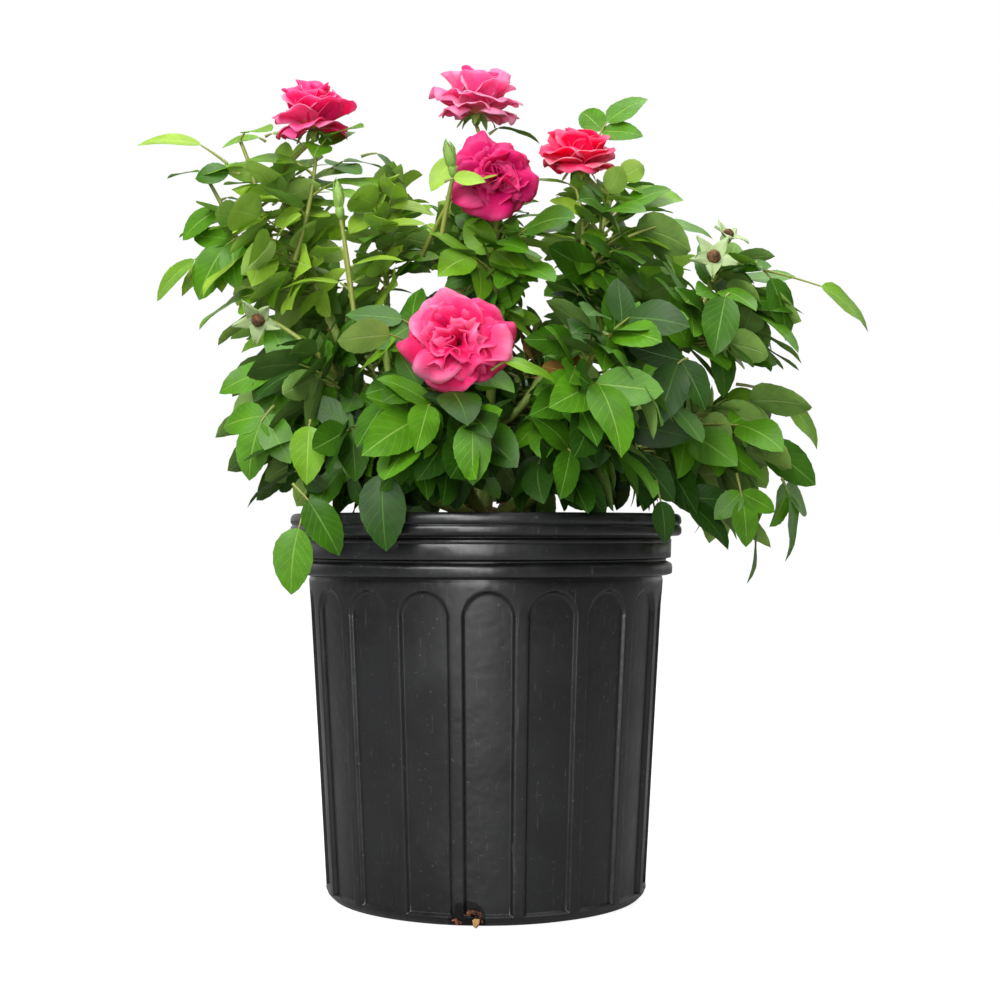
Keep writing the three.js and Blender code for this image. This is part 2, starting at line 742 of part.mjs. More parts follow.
const masses = MASSES.map((row, order) => {
  const heart = new THREE.Vector3(...row.heart);
  const outward = heart.clone().sub(CROWN_MIDDLE).normalize();
  return { ...row, heart, outward, order, seed: 1000 + order * 131 };
});

const limbs = new Map();
for (const mass of masses) {
  const limb = mass.parent ? boughFor(mass, limbs.get(mass.parent)) : caneFor(mass);
  limbs.set(mass.name, limb);
}
const limbBeadList = [...limbs.values()].flatMap(limbBeads);

const bush = new THREE.Group();
bush.add(namedMesh("pot", potGeometry(), plastic));
bush.add(namedMesh("potting_mix", soilGeometry(), mix));
bush.add(namedMesh("stem_base", stemBaseGeometry(), union));
for (const mass of masses) {
  const limb = limbs.get(mass.name);
  const { footRadius, tipRadius, sides, steps } = limb.form;
  const kind = mass.parent ? "bough_" : "cane_";
  const tube = taperedTube(limb.curve, evenShares(steps), footRadius, tipRadius, sides);
  bush.add(namedMesh(kind + mass.name, tube, bark));
  bush.add(namedMesh("foliage_" + mass.name, foliageGeometry(mass, limb), leafGreen));
}

export default bush;
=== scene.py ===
"""A rose bush in leaf and flower in its moulded nursery pot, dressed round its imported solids.

The classes hold sizes in millimetres and the meshes are in metres. +Z is up and the front faces -Y.
"""

import json
import logging
import math
from collections.abc import Iterable, Sequence
from dataclasses import dataclass, field
from enum import Enum, IntEnum

import bpy
import numpy as np
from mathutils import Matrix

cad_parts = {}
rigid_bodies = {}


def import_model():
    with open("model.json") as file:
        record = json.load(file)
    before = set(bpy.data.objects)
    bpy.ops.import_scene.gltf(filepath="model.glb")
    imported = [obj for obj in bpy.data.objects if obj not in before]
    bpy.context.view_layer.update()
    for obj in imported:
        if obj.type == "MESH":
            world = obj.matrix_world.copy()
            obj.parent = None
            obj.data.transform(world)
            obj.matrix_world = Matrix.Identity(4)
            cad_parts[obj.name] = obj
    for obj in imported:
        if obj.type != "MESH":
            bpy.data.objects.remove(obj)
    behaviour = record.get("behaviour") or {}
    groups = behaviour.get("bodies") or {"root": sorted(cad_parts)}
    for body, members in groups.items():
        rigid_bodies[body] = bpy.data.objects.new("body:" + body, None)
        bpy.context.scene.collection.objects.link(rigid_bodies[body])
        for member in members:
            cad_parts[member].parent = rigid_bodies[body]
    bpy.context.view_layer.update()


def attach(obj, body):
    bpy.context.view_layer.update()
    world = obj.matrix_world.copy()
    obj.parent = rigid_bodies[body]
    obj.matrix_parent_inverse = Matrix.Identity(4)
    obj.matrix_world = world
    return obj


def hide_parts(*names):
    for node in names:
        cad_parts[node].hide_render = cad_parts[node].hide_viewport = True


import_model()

Array = np.ndarray
Triple = tuple[float, float, float]
Faces = list[tuple[int, ...]]
Mesh = bpy.types.Mesh
Piece = bpy.types.Object
Tree = bpy.types.NodeTree
Node = bpy.types.Node
Socket = bpy.types.NodeSocket

BODY = "root"
METRE = 1000.0
UP = np.array([0.0, 0.0, 1.0])
FRONT_TO_BACK = np.array([0.0, 1.0, 0.0])
FULL_TURN = 2 * math.pi
GOLDEN_TURN = 137.5
MASS_STEP = 131
DRAW_FACTOR = 16807
DRAW_MODULUS = 2147483647
BLADE_MAP = "blade"
SMOOTH = {"interpolation_type": "SMOOTHSTEP"}

log = logging.getLogger("rose_bush")


# Small tools

class Draws:
    """Even draws between 0 and 1 from a seed, the same on any machine."""

    def __init__(self, seed: int) -> None:
        """Starts from a seed."""
        self.state = seed

    def __call__(self) -> float:
        """Gives the next draw."""
        self.state = self.state * DRAW_FACTOR % DRAW_MODULUS
        return self.state / DRAW_MODULUS

    def way(self) -> Array:
        """Draws a vector within a cube of side two."""
        return vector(*(self.between(-1, 1) for _ in range(3)))

    def between(self, low: float, high: float) -> float:
        """Gives a draw between two values."""
        return low + (high - low) * self()


class Seed(Enum):
    """The first seed of each kind of draws, and the step to the next one's."""

    SITE = (1000, 7919)
    TIP = (90001, 577)
    SHOOT = (70001, 911)
    SPRAY = (40009, 433)
    FORM = (4001, 733)
    CLOSED = (301, 17)
    PRICKLES = (5501, 0)
    CHIP = (8101, 97)
    STREW = (6007, 0)

    def draws(self, number: int = 0, mass: int = 0) -> Draws:
        """Starts the draws of a number in a mass of foliage."""
        first, step = self.value
        return Draws(first + number * step + mass * MASS_STEP)


def unit(vector: Array) -> Array:
    """Gives the same way with a length of 1."""
    return vector / np.linalg.norm(vector)


def vector(*values: float) -> Array:
    """Makes an array of floats."""
    return np.array(values, float)


def even_turns(count: int) -> Array:
    """Gives so many even turns round a circle, in radians."""
    return np.linspace(0, FULL_TURN, count, endpoint=False)


def frame_of(way: Array) -> tuple[Array, Array]:
    """Finds two ways square to a way and to each other.

    Args:
        way: A way of length 1.

    Returns:
        The way across and the way over, so that across x over = way.
    """
    helper = vector(1, 0, 0) if abs(way[0]) < 0.8 else vector(0, 1, 0)
    across = unit(np.cross(helper, way))
    return across, np.cross(way, across)


def even_share(index: int) -> float:
    """Finds the part of 0 to 1 that a site takes, so that any number of sites lies evenly.

    Args:
        index: The site's number, from 1.

    Returns:
        A share between 0 and 1.
    """
    share, step = 0.0, 0.5
    while index > 0:
        share += (index % 2) * step
        index //= 2
        step /= 2
    return share


def smooth_step(low: float, high: float, value: Array) -> Array:
    """Goes smoothly from 0 at a low value to 1 at a high one."""
    share = np.clip((value - low) / (high - low), 0, 1)
    return share * share * (3 - 2 * share)


def linear(hex_colour: str) -> tuple[float, float, float, float]:
    """Turns an sRGB hex colour to linear light.

    Args:
        hex_colour: A colour such as "#3F8A1E".

    Returns:
        Red, green, blue and a full alpha.
    """
    channels = [int(hex_colour[place:place + 2], 16) / 255 for place in (1, 3, 5)]
    light = [c / 12.92 if c <= 0.04045 else ((c + 0.055) / 1.055) ** 2.4 for c in channels]
    return light[0], light[1], light[2], 1.0


def feed(tree: Tree, node: Node, inputs: dict[str | int, object]) -> None:
    """Sets or links inputs of a node.

    Args:
        tree: The tree that holds the node.
        node: The node.
        inputs: For each input's name or number a value, a socket, or a node for its first output.
    """
    for name, value in inputs.items():
        source = value.outputs[0] if isinstance(value, Node) else value
        if isinstance(source, Socket):
            tree.links.new(source, node.inputs[name])
        else:
            node.inputs[name].default_value = source


def add_node(
    tree: Tree, kind: str, *values: object, sockets: dict[str | int, object] | None = None, **settings: object
) -> Node:
    """Adds a node with its settings and links.

    Args:
        tree: The tree that gets the node.
        kind: The node's type name.
        values: What its first inputs get, in order, as in feed.
        sockets: What other inputs get, by name or number.
        settings: Properties of the node, which are set first.

    Returns:
        The new node.
    """
    node = tree.nodes.new(kind)
    for name, setting in settings.items():
        setattr(node, name, setting)
    feed(tree, node, dict(enumerate(values)) | (sockets or {}))
    return node


def new_mesh(name: str, points_mm: Array, faces: Faces, uvs: Array | None = None) -> Mesh:
    """Makes a mesh with smooth faces from points in millimetres.

    Args:
        name: The mesh's name.
        points_mm: One row for each vertex.
        faces: Vertex numbers of each face, outwards.
        uvs: A place across and along the blade for each vertex.

    Returns:
        The mesh, in metres.
    """
    mesh = bpy.data.meshes.new(name)
    mesh.from_pydata((np.asarray(points_mm) / METRE).tolist(), [], faces)
    if uvs is not None:
        corners = np.empty(len(mesh.loops), np.int32)
        mesh.loops.foreach_get("vertex_index", corners)
        layer = mesh.uv_layers.new(name=BLADE_MAP)
        layer.data.foreach_set("uv", np.asarray(uvs, np.float32)[corners].ravel())
    mesh.shade_smooth()
    return mesh


def show(name: str, mesh: Mesh) -> Piece:
    """Puts a mesh in the scene as an object at the origin."""
    piece = bpy.data.objects.new(name, mesh)
    bpy.context.scene.collection.objects.link(piece)
    return piece


def plain(piece: Piece) -> Mesh:
    """Makes a plain mesh of what a piece's modifiers give."""
    bpy.context.view_layer.update()
    graph = bpy.context.evaluated_depsgraph_get()
    return bpy.data.meshes.new_from_object(piece.evaluated_get(graph), depsgraph=graph)


def settle(piece: Piece, nodes: Iterable[str] = ()) -> None:
    """Makes a finished piece ride on the plant's body, and reports it.

    Args:
        piece: The finished object, at the origin.
        nodes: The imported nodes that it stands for.
    """
    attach(piece, BODY)
    if nodes:
        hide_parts(*nodes)
    faces = piece.data.polygons
    sides = np.empty(len(faces), np.int32)
    faces.foreach_get("loop_total", sides)
    log.info("%s: %d faces, %d triangles", piece.name, len(faces), int((sides - 2).sum()))


class GridJoin:
    """Collects closed sheets and turned bodies into one mesh with several finishes."""

    def __init__(self) -> None:
        """Starts empty."""
        self.points: list[Array] = []
        self.uvs: list[Array] = []
        self.faces: Faces = []
        self.finishes: list[int] = []
        self.count = 0

    def add(self, points: Array, faces: Faces, uvs: Array, finishes: Sequence[int]) -> None:
        """Adds one body.

        Args:
            points: Its vertices in millimetres.
            faces: Its faces by its own vertex numbers.
            uvs: A place on the blade for each vertex.
            finishes: A finish number for each face.
        """
        self.points.append(points)
        self.uvs.append(uvs)
        self.faces += [tuple(corner + self.count for corner in face) for face in faces]
        self.finishes += finishes
        self.count += len(points)

    def sheet(self, grid: Array, thickness: float, inner: int, outer: int) -> None:
        """Adds a thin closed sheet, whose inner side is where the grid's rows turn anticlockwise.

        Args:
            grid: Points by row along the sheet and by column across it.
            thickness: The sheet's thickness in millimetres.
            inner: The finish number of its inner side.
            outer: The finish number of its outer side.
        """
        rows, columns, _ = grid.shape
        normal = np.cross(np.gradient(grid, axis=1), np.gradient(grid, axis=0))
        normal /= np.maximum(np.linalg.norm(normal, axis=2, keepdims=True), 1e-9)
        points = np.concatenate([grid.reshape(-1, 3), (grid - normal * thickness).reshape(-1, 3)])
        u, v = np.meshgrid(np.linspace(0, 1, columns), np.linspace(0, 1, rows))
        uvs = np.tile(np.stack([u.ravel(), v.ravel()], axis=1), (2, 1))
        back = rows * columns
        faces: Faces = []
        finishes: list[int] = []
        for row in range(rows - 1):
            for column in range(columns - 1):
                a = row * columns + column
                quad = (a, a + 1, a + 1 + columns, a + columns)
                faces += [quad, tuple(back + corner for corner in reversed(quad))]
                finishes += [inner, outer]
        edge = list(range(columns))
        edge += [row * columns + columns - 1 for row in range(1, rows)]
        edge += [(rows - 1) * columns + column for column in range(columns - 2, -1, -1)]
        edge += [row * columns for row in range(rows - 2, 0, -1)]
        for here, there in zip(edge, edge[1:] + edge[:1]):
            faces.append((there, here, back + here, back + there))
            finishes.append(outer)
        self.add(points, faces, uvs, finishes)

    def turned(self, profile: Array, foot: Array, way: Array, sides: int, finish: int) -> None:
        """Adds a body turned about a line, closed by a point at each end.

        Args:
            profile: Radius and height of each ring; the first and the last have no radius.
            foot: The point where height is 0.
            way: The line's way.
            sides: The number of sides.
            finish: Its finish number.
        """
        across, over = frame_of(way)
        turns = even_turns(sides)
        ring = np.outer(np.cos(turns), across) + np.outer(np.sin(turns), over)
        rings = [foot + way * height + radius * ring for radius, height in profile[1:-1]]
        points = np.vstack([foot + way * profile[0][1], *rings, foot + way * profile[-1][1]])
        bands = len(profile) - 3
        faces: Faces = []
        for side in range(sides):
            following = (side + 1) % sides
            faces.append((0, 1 + following, 1 + side))
            for band in range(bands):
                low = 1 + band * sides
                faces.append((low + side, low + following, low + sides + following, low + sides + side))
            top = 1 + bands * sides
            faces.append((top + side, top + following, top + sides))
        self.add(points, faces, np.zeros((len(points), 2)), [finish] * len(faces))

    def piece(self, name: str, finishes: Sequence["Finish"]) -> Piece:
        """Makes the collected bodies one object.

        Args:
            name: The object's name.
            finishes: The finish for each finish number.

        Returns:
            The object.
        """
        mesh = new_mesh(name, np.vstack(self.points), self.faces, np.vstack(self.uvs))
        for finish in finishes:
            mesh.materials.append(material_of(finish))
        mesh.polygons.foreach_set("material_index", np.array(self.finishes, np.int32))
        return show(name, mesh)


# Finishes

@dataclass(frozen=True)
class Finish:
    """A named surface finish, which knows how to build its own material."""

    name: str

    def dress(self, tree: Tree, surface: Node) -> None:
        """Sets the finish's own nodes.

        Args:
            tree: The material's tree.
            surface: Its main shader.
        """
        raise NotImplementedError


MADE: dict[Finish, bpy.types.Material] = {}


def material_of(finish: Finish) -> bpy.types.Material:
    """Gives the material of a finish, made the first time that it is asked for.

    Args:
        finish: The finish.

    Returns:
        Its material.
    """
    if finish not in MADE:
        material = bpy.data.materials.new(finish.name)
        material.use_nodes = True
        finish.dress(material.node_tree, material.node_tree.nodes["Principled BSDF"])
        MADE[finish] = material
    return MADE[finish]


def clouds(tree: Tree, size_mm: float, detail: float = 3.0, squeeze: Triple | None = None) -> Node:
    """Draws cloudy noise on Object coordinates, so that it stays where it is on the plant.

    Args:
        tree: The material's tree.
        size_mm: The width of a patch.
        detail: How many finer layers it has.
        squeeze: A share of its fineness that is kept along each axis.

    Returns:
        The node whose first output is the strength, round 0.5.
    """
    place = add_node(tree, "ShaderNodeTexCoord").outputs["Object"]
    if squeeze:
        place = add_node(tree, "ShaderNodeMapping", sockets={"Vector": place, "Scale": squeeze})
    sockets = {"Vector": place, "Scale": METRE / size_mm, "Detail": detail, "Roughness": 0.55}
    return add_node(tree, "ShaderNodeTexNoise", sockets=sockets)


def colour_step(
    tree: Tree, value: object, low: float, high: float, first: object, second: object, most: float = 1.0
) -> Socket:
    """Goes smoothly from one colour to another as a value rises.

    Args:
        tree: The material's tree.
        value: The node or socket with the value.
        low: The value where the first colour ends.
        high: The value where the second colour is at its most.
        first: The first colour, as sRGB hex or a socket.
        second: The second colour.
        most: The most of the second colour.

    Returns:
        The socket of the colour.
    """
    share = add_node(tree, "ShaderNodeMapRange", value, low, high, 0, most, **SMOOTH)
    first, second = (linear(colour) if isinstance(colour, str) else colour for colour in (first, second))
    sockets = {0: share, 6: first, 7: second}
    return add_node(tree, "ShaderNodeMix", sockets=sockets, data_type="RGBA").outputs[2]


def on_blade(tree: Tree) -> tuple[Node, Node, Socket]:
    """Reads the blade's own map, which follows a leaf or petal however it bends.

    Args:
        tree: The material's tree.

    Returns:
        The map, the distance from the midrib as a share of the width, and the share of the length.
    """
    blade = add_node(tree, "ShaderNodeUVMap", uv_map=BLADE_MAP)
    split = add_node(tree, "ShaderNodeSeparateXYZ", blade)
    shifted = add_node(tree, "ShaderNodeMath", split, 0.5, operation="SUBTRACT")
    return blade, add_node(tree, "ShaderNodeMath", shifted, operation="ABSOLUTE"), split.outputs["Y"]


def let_light_through(tree: Tree, colour: object, relief: Node, share: float) -> None:
    """Lets some light through a thin blade.

    Args:
        tree: The material's tree, with its main shader linked to its output.
        colour: The colour of the light that comes through, or a socket with it.
        relief: The blade's relief.
        share: The part of the light that comes through.
    """
    glow = add_node(tree, "ShaderNodeBsdfTranslucent", sockets={"Color": colour, "Normal": relief})
    blend = add_node(tree, "ShaderNodeMixShader", share, tree.nodes["Principled BSDF"], glow)
    feed(tree, tree.nodes["Material Output"], {"Surface": blend})


@dataclass(frozen=True)
class MouldedPolythene(Finish):
    """Black blow-moulded HDPE: a satin skin with patches of painted grey sheen, and with dust and scuffs."""

    body: str = "#08080A"
    # A grey painted in patches into the base colour as the satin skin's sheen
    haze: str = "#101113"
    dust: str = "#5A5856"
    roughness: float = 0.36

    def dress(self, tree: Tree, surface: Node) -> None:
        """Draws the painted sheen, the fine upright scuffs, the dust and the mould's faint grain."""
        # Handling polishes patches some 40 mm wide; the rougher skin between them gets a painted grey sheen
        patches = clouds(tree, 40)
        body = colour_step(tree, patches, 0.35, 0.7, self.body, self.haze)
        worn, fresh = self.roughness - 0.06, self.roughness + 0.12
        rough = add_node(tree, "ShaderNodeMapRange", patches, 0.3, 0.75, worn, fresh, **SMOOTH)
        # Upright scuffs from stacking: 1.6 mm wide and many times as long
        scuffs = clouds(tree, 1.6, 2, (1, 1, 0.06))
        marks = add_node(tree, "ShaderNodeMapRange", scuffs, 0.62, 0.8, 0, 1, **SMOOTH)
        scuffed = colour_step(tree, marks, 0, 1, body, self.dust, 0.28)
        # Specks of dried splashes, 2.2 mm wide
        colour = colour_step(tree, clouds(tree, 2.2, 1), 0.7, 0.78, scuffed, self.dust, 0.35)
        # The mould leaves slow waves about 9 mm long and a grain that is drawn at 0.8 mm to show
        waves, grain = clouds(tree, 9, 1), clouds(tree, 0.8, 1)
        low = add_node(
            tree, "ShaderNodeBump", sockets={"Strength": 0.35, "Distance": 0.0009, "Height": waves}
        )
        fine = {"Strength": 0.12, "Distance": 0.0002, "Height": grain, "Normal": low}
        relief = add_node(tree, "ShaderNodeBump", sockets=fine)
        feed(tree, surface, {"Base Color": colour, "Roughness": rough, "IOR": 1.54, "Normal": relief})


@dataclass(frozen=True)
class Bark(Finish):
    """Bark, on the bush or chipped for the mix: matt, ridged and mottled."""

    dark: str = "#2A1B10"
    light: str = "#5A3D24"
    patch: float = 6.0
    ridge: float = 1.2
    roughness: float = 0.88

    def dress(self, tree: Tree, surface: Node) -> None:
        """Draws mottled brown with a ridged relief."""
        ridges = clouds(tree, self.ridge, 4)
        colour = colour_step(tree, clouds(tree, self.patch), 0.35, 0.68, self.dark, self.light)
        relief = add_node(
            tree, "ShaderNodeBump", sockets={"Strength": 0.6, "Distance": 0.0006, "Height": ridges}
        )
        feed(tree, surface, {"Base Color": colour, "Roughness": self.roughness, "Normal": relief})


@dataclass(frozen=True)
class CaneSkin(Finish):
    """The skin of rose canes: brown and corky at the foot, and smooth olive green higher up."""

    corky: str = "#6B5636"
    green: str = "#7F9A3C"
    young: str = "#9DB552"
    flush: str = "#8A5A36"
    green_from: float = 262.0
    young_from: float = 420.0
    corky_to: float = 225.0

    def dress(self, tree: Tree, surface: Node) -> None:
        """Turns from cork to green with height, with a reddish flush in patches."""
        place = add_node(tree, "ShaderNodeTexCoord").outputs["Object"]
        height = add_node(tree, "ShaderNodeSeparateXYZ", place).outputs["Z"]
        low, high = self.green_from / METRE, self.young_from / METRE
        green = colour_step(tree, height, low, high, self.green, self.young)
        lower = colour_step(tree, height, self.corky_to / METRE, low, self.corky, green)
        # The sun flushes patches some 14 mm long, and the skin has streaks 1.5 mm apart
        flushed = colour_step(tree, clouds(tree, 14), 0.58, 0.75, lower, self.flush, 0.5)
        streaks = clouds(tree, 1.5, 4)
        dark = {0: 0.35, 6: flushed, 7: (0.35, 0.33, 0.3, 1)}
        darker = add_node(tree, "ShaderNodeMix", sockets=dark, data_type="RGBA", blend_type="MULTIPLY")
        colour = colour_step(tree, streaks, 0.5, 0.7, flushed, darker.outputs[2])
        relief = add_node(
            tree, "ShaderNodeBump", sockets={"Strength": 0.4, "Distance": 0.0004, "Height": streaks}
        )
        feed(tree, surface, {"Base Color": colour, "Roughness": 0.5, "Normal": relief})


@dataclass(frozen=True)
class LeafBlade(Finish):
    """A rose leaf's skin: waxy above and matt grey-green below, with a pale midrib and side veins."""

    colour: str = "#3F8A1E"
    rib: str = "#8FB55A"
    glow: str = "#9CCB3A"
    roughness: float = 0.4
    through: float = 0.24
    veins: float = 7.0

    def dress(self, tree: Tree, surface: Node) -> None:
        """Draws the midrib and the veins on the blade's own map."""
        _, aside, along = on_blade(tree)
        # Side veins leave the midrib forwards, one for about every seventh of the blade
        forward = add_node(tree, "ShaderNodeMath", aside, -0.7, along, operation="MULTIPLY_ADD")
        count = add_node(tree, "ShaderNodeMath", forward, self.veins, operation="MULTIPLY")
        phase = add_node(tree, "ShaderNodeMath", count, 0.5, operation="PINGPONG")
        rib = add_node(tree, "ShaderNodeMapRange", aside, 0.01, 0.035, 0.7, 0, **SMOOTH)
        vein = add_node(tree, "ShaderNodeMapRange", phase, 0.02, 0.1, 0.2, 0, **SMOOTH)
        lines = add_node(tree, "ShaderNodeMath", rib, vein, operation="MAXIMUM")
        # A blade's green is uneven in patches some 16 mm wide
        bright = add_node(tree, "ShaderNodeMapRange", clouds(tree, 16, 2), 0.3, 0.7, 0.82, 1.18, **SMOOTH)
        green = add_node(
            tree, "ShaderNodeHueSaturation", sockets={"Value": bright, "Color": linear(self.colour)}
        )
        veined = {0: lines, 6: green, 7: linear(self.rib)}
        colour = add_node(tree, "ShaderNodeMix", sockets=veined, data_type="RGBA").outputs[2]
        cut = {"Strength": 0.5, "Distance": 0.0006, "Height": lines}
        groove = add_node(tree, "ShaderNodeBump", sockets=cut, invert=True)
        skin = {"Base Color": colour, "Roughness": self.roughness, "IOR": 1.42, "Normal": groove}
        feed(tree, surface, skin)
        let_light_through(tree, linear(self.glow), groove, self.through)


@dataclass(frozen=True)
class Petal(Finish):
    """A rose petal: velvety, glowing where light comes through, pale along its rolled edge."""

    heart: str = "#FFA45E"
    blade: str = "#F0187F"
    edge: str = "#FF8FC8"
    heart_to: float = 0.42
    edge_from: float = 0.8
    through: float = 0.48

    def dress(self, tree: Tree, surface: Node) -> None:
        """Runs from the warm base to the pink blade and the pale edge on the petal's own map."""
        blade, aside, along = on_blade(tree)
        warm = colour_step(tree, along, 0.08, self.heart_to, self.heart, self.blade)
        sides = add_node(tree, "ShaderNodeMath", aside, 1.9, operation="MULTIPLY")
        rim = add_node(tree, "ShaderNodeMath", along, sides, operation="MAXIMUM")
        pale = add_node(tree, "ShaderNodeMapRange", rim, self.edge_from, 1.0, 0, 0.85, **SMOOTH)
        # The pale edge fades out and in again in patches some 11 mm wide
        fading = add_node(tree, "ShaderNodeMapRange", clouds(tree, 11, 2), 0.35, 0.65, 0.35, 1, **SMOOTH)
        share = add_node(tree, "ShaderNodeMath", pale, fading, operation="MULTIPLY")
        edging = {0: share, 6: warm, 7: linear(self.edge)}
        edged = add_node(tree, "ShaderNodeMix", sockets=edging, data_type="RGBA").outputs[2]
        # Fine veins fan out from the base, drawn 1.5 mm apart to show
        fan = add_node(tree, "ShaderNodeMapping", sockets={"Vector": blade, "Scale": (15, 1.6, 1)})
        veins = add_node(tree, "ShaderNodeTexNoise", sockets={"Vector": fan, "Scale": 1.0, "Detail": 2.0})
        bright = add_node(tree, "ShaderNodeMapRange", veins, 0.35, 0.65, 0.93, 1.04, **SMOOTH)
        colour = add_node(tree, "ShaderNodeHueSaturation", sockets={"Value": bright, "Color": edged})
        relief = add_node(
            tree, "ShaderNodeBump", sockets={"Strength": 0.12, "Distance": 0.0003, "Height": veins}
        )
        velvet = {"Base Color": colour, "Roughness": 0.6, "Specular IOR Level": 0.25, "Normal": relief}
        feed(tree, surface, velvet)
        let_light_through(tree, colour, relief, self.through)


@dataclass(frozen=True)
class PlainFloor(Finish):
    """A pale studio floor of milky acrylic, lit softly from below so that it stays even."""

    colour: str = "#8E8E8E"
    glow: float = 0.9
    spill: float = 0.08

    def dress(self, tree: Tree, surface: Node) -> None:
        """Sets a matt pale colour and its glow, of which little spills on the pot."""
        seen = add_node(tree, "ShaderNodeLightPath").outputs["Is Camera Ray"]
        glow = add_node(tree, "ShaderNodeMapRange", seen, 0, 1, self.spill, self.glow, **SMOOTH)
        matt = {"Base Color": linear(self.colour), "Roughness": 0.9, "Emission Color": (1, 1, 1, 1)}
        feed(tree, surface, matt | {"Emission Strength": glow})


# Blow-moulded HDPE: near black with patches of painted grey sheen, and light lies on it as one wide satin
# haze
POT_PLASTIC = MouldedPolythene("black_hdpe_blow_moulded")
# Composted bark: dark and matt, a shadowy bed for the chips
MIX_BARK = Bark("potting_mix_composted_bark")
# Pine bark chips by age, which speckle the mix from dark brown to pale split wood
CHIP_DARK = Bark("pine_chip_weathered", "#2B1A0F", "#54351F", 4, 0.9)
CHIP_BROWN = Bark("pine_chip_brown", "#4A2D17", "#7A4F2B", 4, 0.9)
CHIP_TAN = Bark("pine_chip_fresh_split", "#9A7345", "#C79D66", 4, 0.9)
# Wet chips, which shine red-brown through the drain holes
CHIP_RED = Bark("pine_chip_wet", "#4A2016", "#8A4A2C", 3, 0.9, 0.6)
# The corky union: grey-brown, rough and knobbly
KNUCKLE_BARK = Bark("rose_union_bark", "#4B3A24", "#85704B", 5, 1.0)
# Living cane skin: a soft shine on olive green, brown and dull at the foot
CANE = CaneSkin("rose_cane_skin")
# The thin skin of twigs and leaf stalks, fresher and yellower than the canes
TWIG_SKIN = CaneSkin("rose_twig_skin", "#86923F", "#8FB045", "#A3C656", "#9C8A4A", 225.0, 430.0)
# Horn of prickles: small red-brown glints along the canes
PRICKLE_HORN = Bark("rose_prickle_horn", "#7A3B22", "#A86A42", 3, 0.6, 0.45)
# Sepals and hips: a matt yellow-green, paler and greyer on spent blooms
CALYX_GREEN = LeafBlade("rose_calyx", "#7FA548", "#A9C274", "#A9CC5C", 0.5, 0.15, 5.0)
SPENT_SEPAL = LeafBlade("spent_sepals", "#A9BF86", "#C9D4AC", "#C5D88E", 0.55, 0.2, 4.0)
# Withered stamens: a crumbly dark brown heart
SPENT_BROWN = Bark("withered_stamens", "#3A2412", "#7A5330", 2, 0.5)


class Tint(IntEnum):
    """The greens that leaves are dealt by spray, from the darkest, which is partly age and partly painted
    shade, to the youngest.
    """

    SHADE = 0
    OLD = 1
    FULL = 2
    FRESH = 3
    YOUNG = 4
    RUST = 5


# Waxy upper sides, from a dark blue-green that paints shade to yellow-green youth, and rust where a leaf dies
UPPER_SIDES = {
    Tint.SHADE: LeafBlade("leaf_top_shade", "#244B08", "#4F7B2C", "#55921C", 0.46, 0.2),
    Tint.OLD: LeafBlade("leaf_top_old", "#3A6A0C", "#6F9E3C", "#78AC22", 0.42, 0.22),
    Tint.FULL: LeafBlade("leaf_top_full", "#528A12", "#8CB84C", "#94C828", 0.42, 0.26),
    Tint.FRESH: LeafBlade("leaf_top_fresh", "#74A61E", "#A9CB5E", "#ACDA32", 0.42, 0.3),
    Tint.YOUNG: LeafBlade("leaf_top_young", "#9CC03C", "#BFDA7A", "#C6E446", 0.44, 0.34),
    Tint.RUST: LeafBlade("leaf_top_rust", "#8C6A2B", "#C39A58", "#C79B3E", 0.5, 0.2),
}
# Undersides: matt and greyer, so that turned leaves read as pale flecks
UNDER_SIDES = {
    Tint.SHADE: LeafBlade("leaf_under_shade", "#5E7F3A", "#86A05C", "#6A9C2C", 0.6, 0.22),
    Tint.OLD: LeafBlade("leaf_under_old", "#739646", "#9AB466", "#8AB834", 0.6, 0.26),
    Tint.FULL: LeafBlade("leaf_under_full", "#86AA52", "#ACC678", "#A0CE40", 0.58, 0.3),
    Tint.FRESH: LeafBlade("leaf_under_fresh", "#98BA5C", "#BCD286", "#B8DC4A", 0.58, 0.32),
    Tint.YOUNG: LeafBlade("leaf_under_young", "#B0CE6E", "#CFE09C", "#CCEA58", 0.58, 0.36),
    Tint.RUST: LeafBlade("leaf_under_rust", "#A07A42", "#C9A76C", "#C79B3E", 0.62, 0.18),
}


# Trees of geometry nodes

def start_tree(name: str, sizes: dict[str, tuple[str, object]]) -> tuple[Tree, Node]:
    """Starts a tree of geometry nodes with named inputs.

    Args:
        name: The tree's name.
        sizes: The kind and the default of each named input.

    Returns:
        The tree and its input node.
    """
    tree = bpy.data.node_groups.new(name, "GeometryNodeTree")
    tree.interface.new_socket("Geometry", in_out="INPUT", socket_type="NodeSocketGeometry")
    for label, (kind, value) in sizes.items():
        socket = tree.interface.new_socket(label, in_out="INPUT", socket_type="NodeSocket" + kind)
        if value is not None:
            socket.default_value = value
    tree.interface.new_socket("Geometry", in_out="OUTPUT", socket_type="NodeSocketGeometry")
    return tree, add_node(tree, "NodeGroupInput")


def grown(name: str, source: Mesh, tree: Tree, settings: dict[str, object]) -> Piece:
    """Runs a tree on a mesh and keeps the result as a plain mesh.

    Args:
        name: The new object's name.
        source: The mesh that the tree works on.
        tree: The tree.
        settings: A value for each named input that differs from its default.

    Returns:
        An object at the origin with no modifier.
    """
    carrier = show(name + "_source", source)
    modifier = carrier.modifiers.new(tree.name, "NODES")
    modifier.node_group = tree
    for item in tree.interface.items_tree:
        if item.item_type == "SOCKET" and item.in_out == "INPUT" and item.name in settings:
            modifier[item.identifier] = settings[item.name]
    mesh = plain(carrier)
    carrier.modifiers.remove(modifier)
    bpy.data.objects.remove(carrier)
    mesh.name = name
    return show(name, mesh)


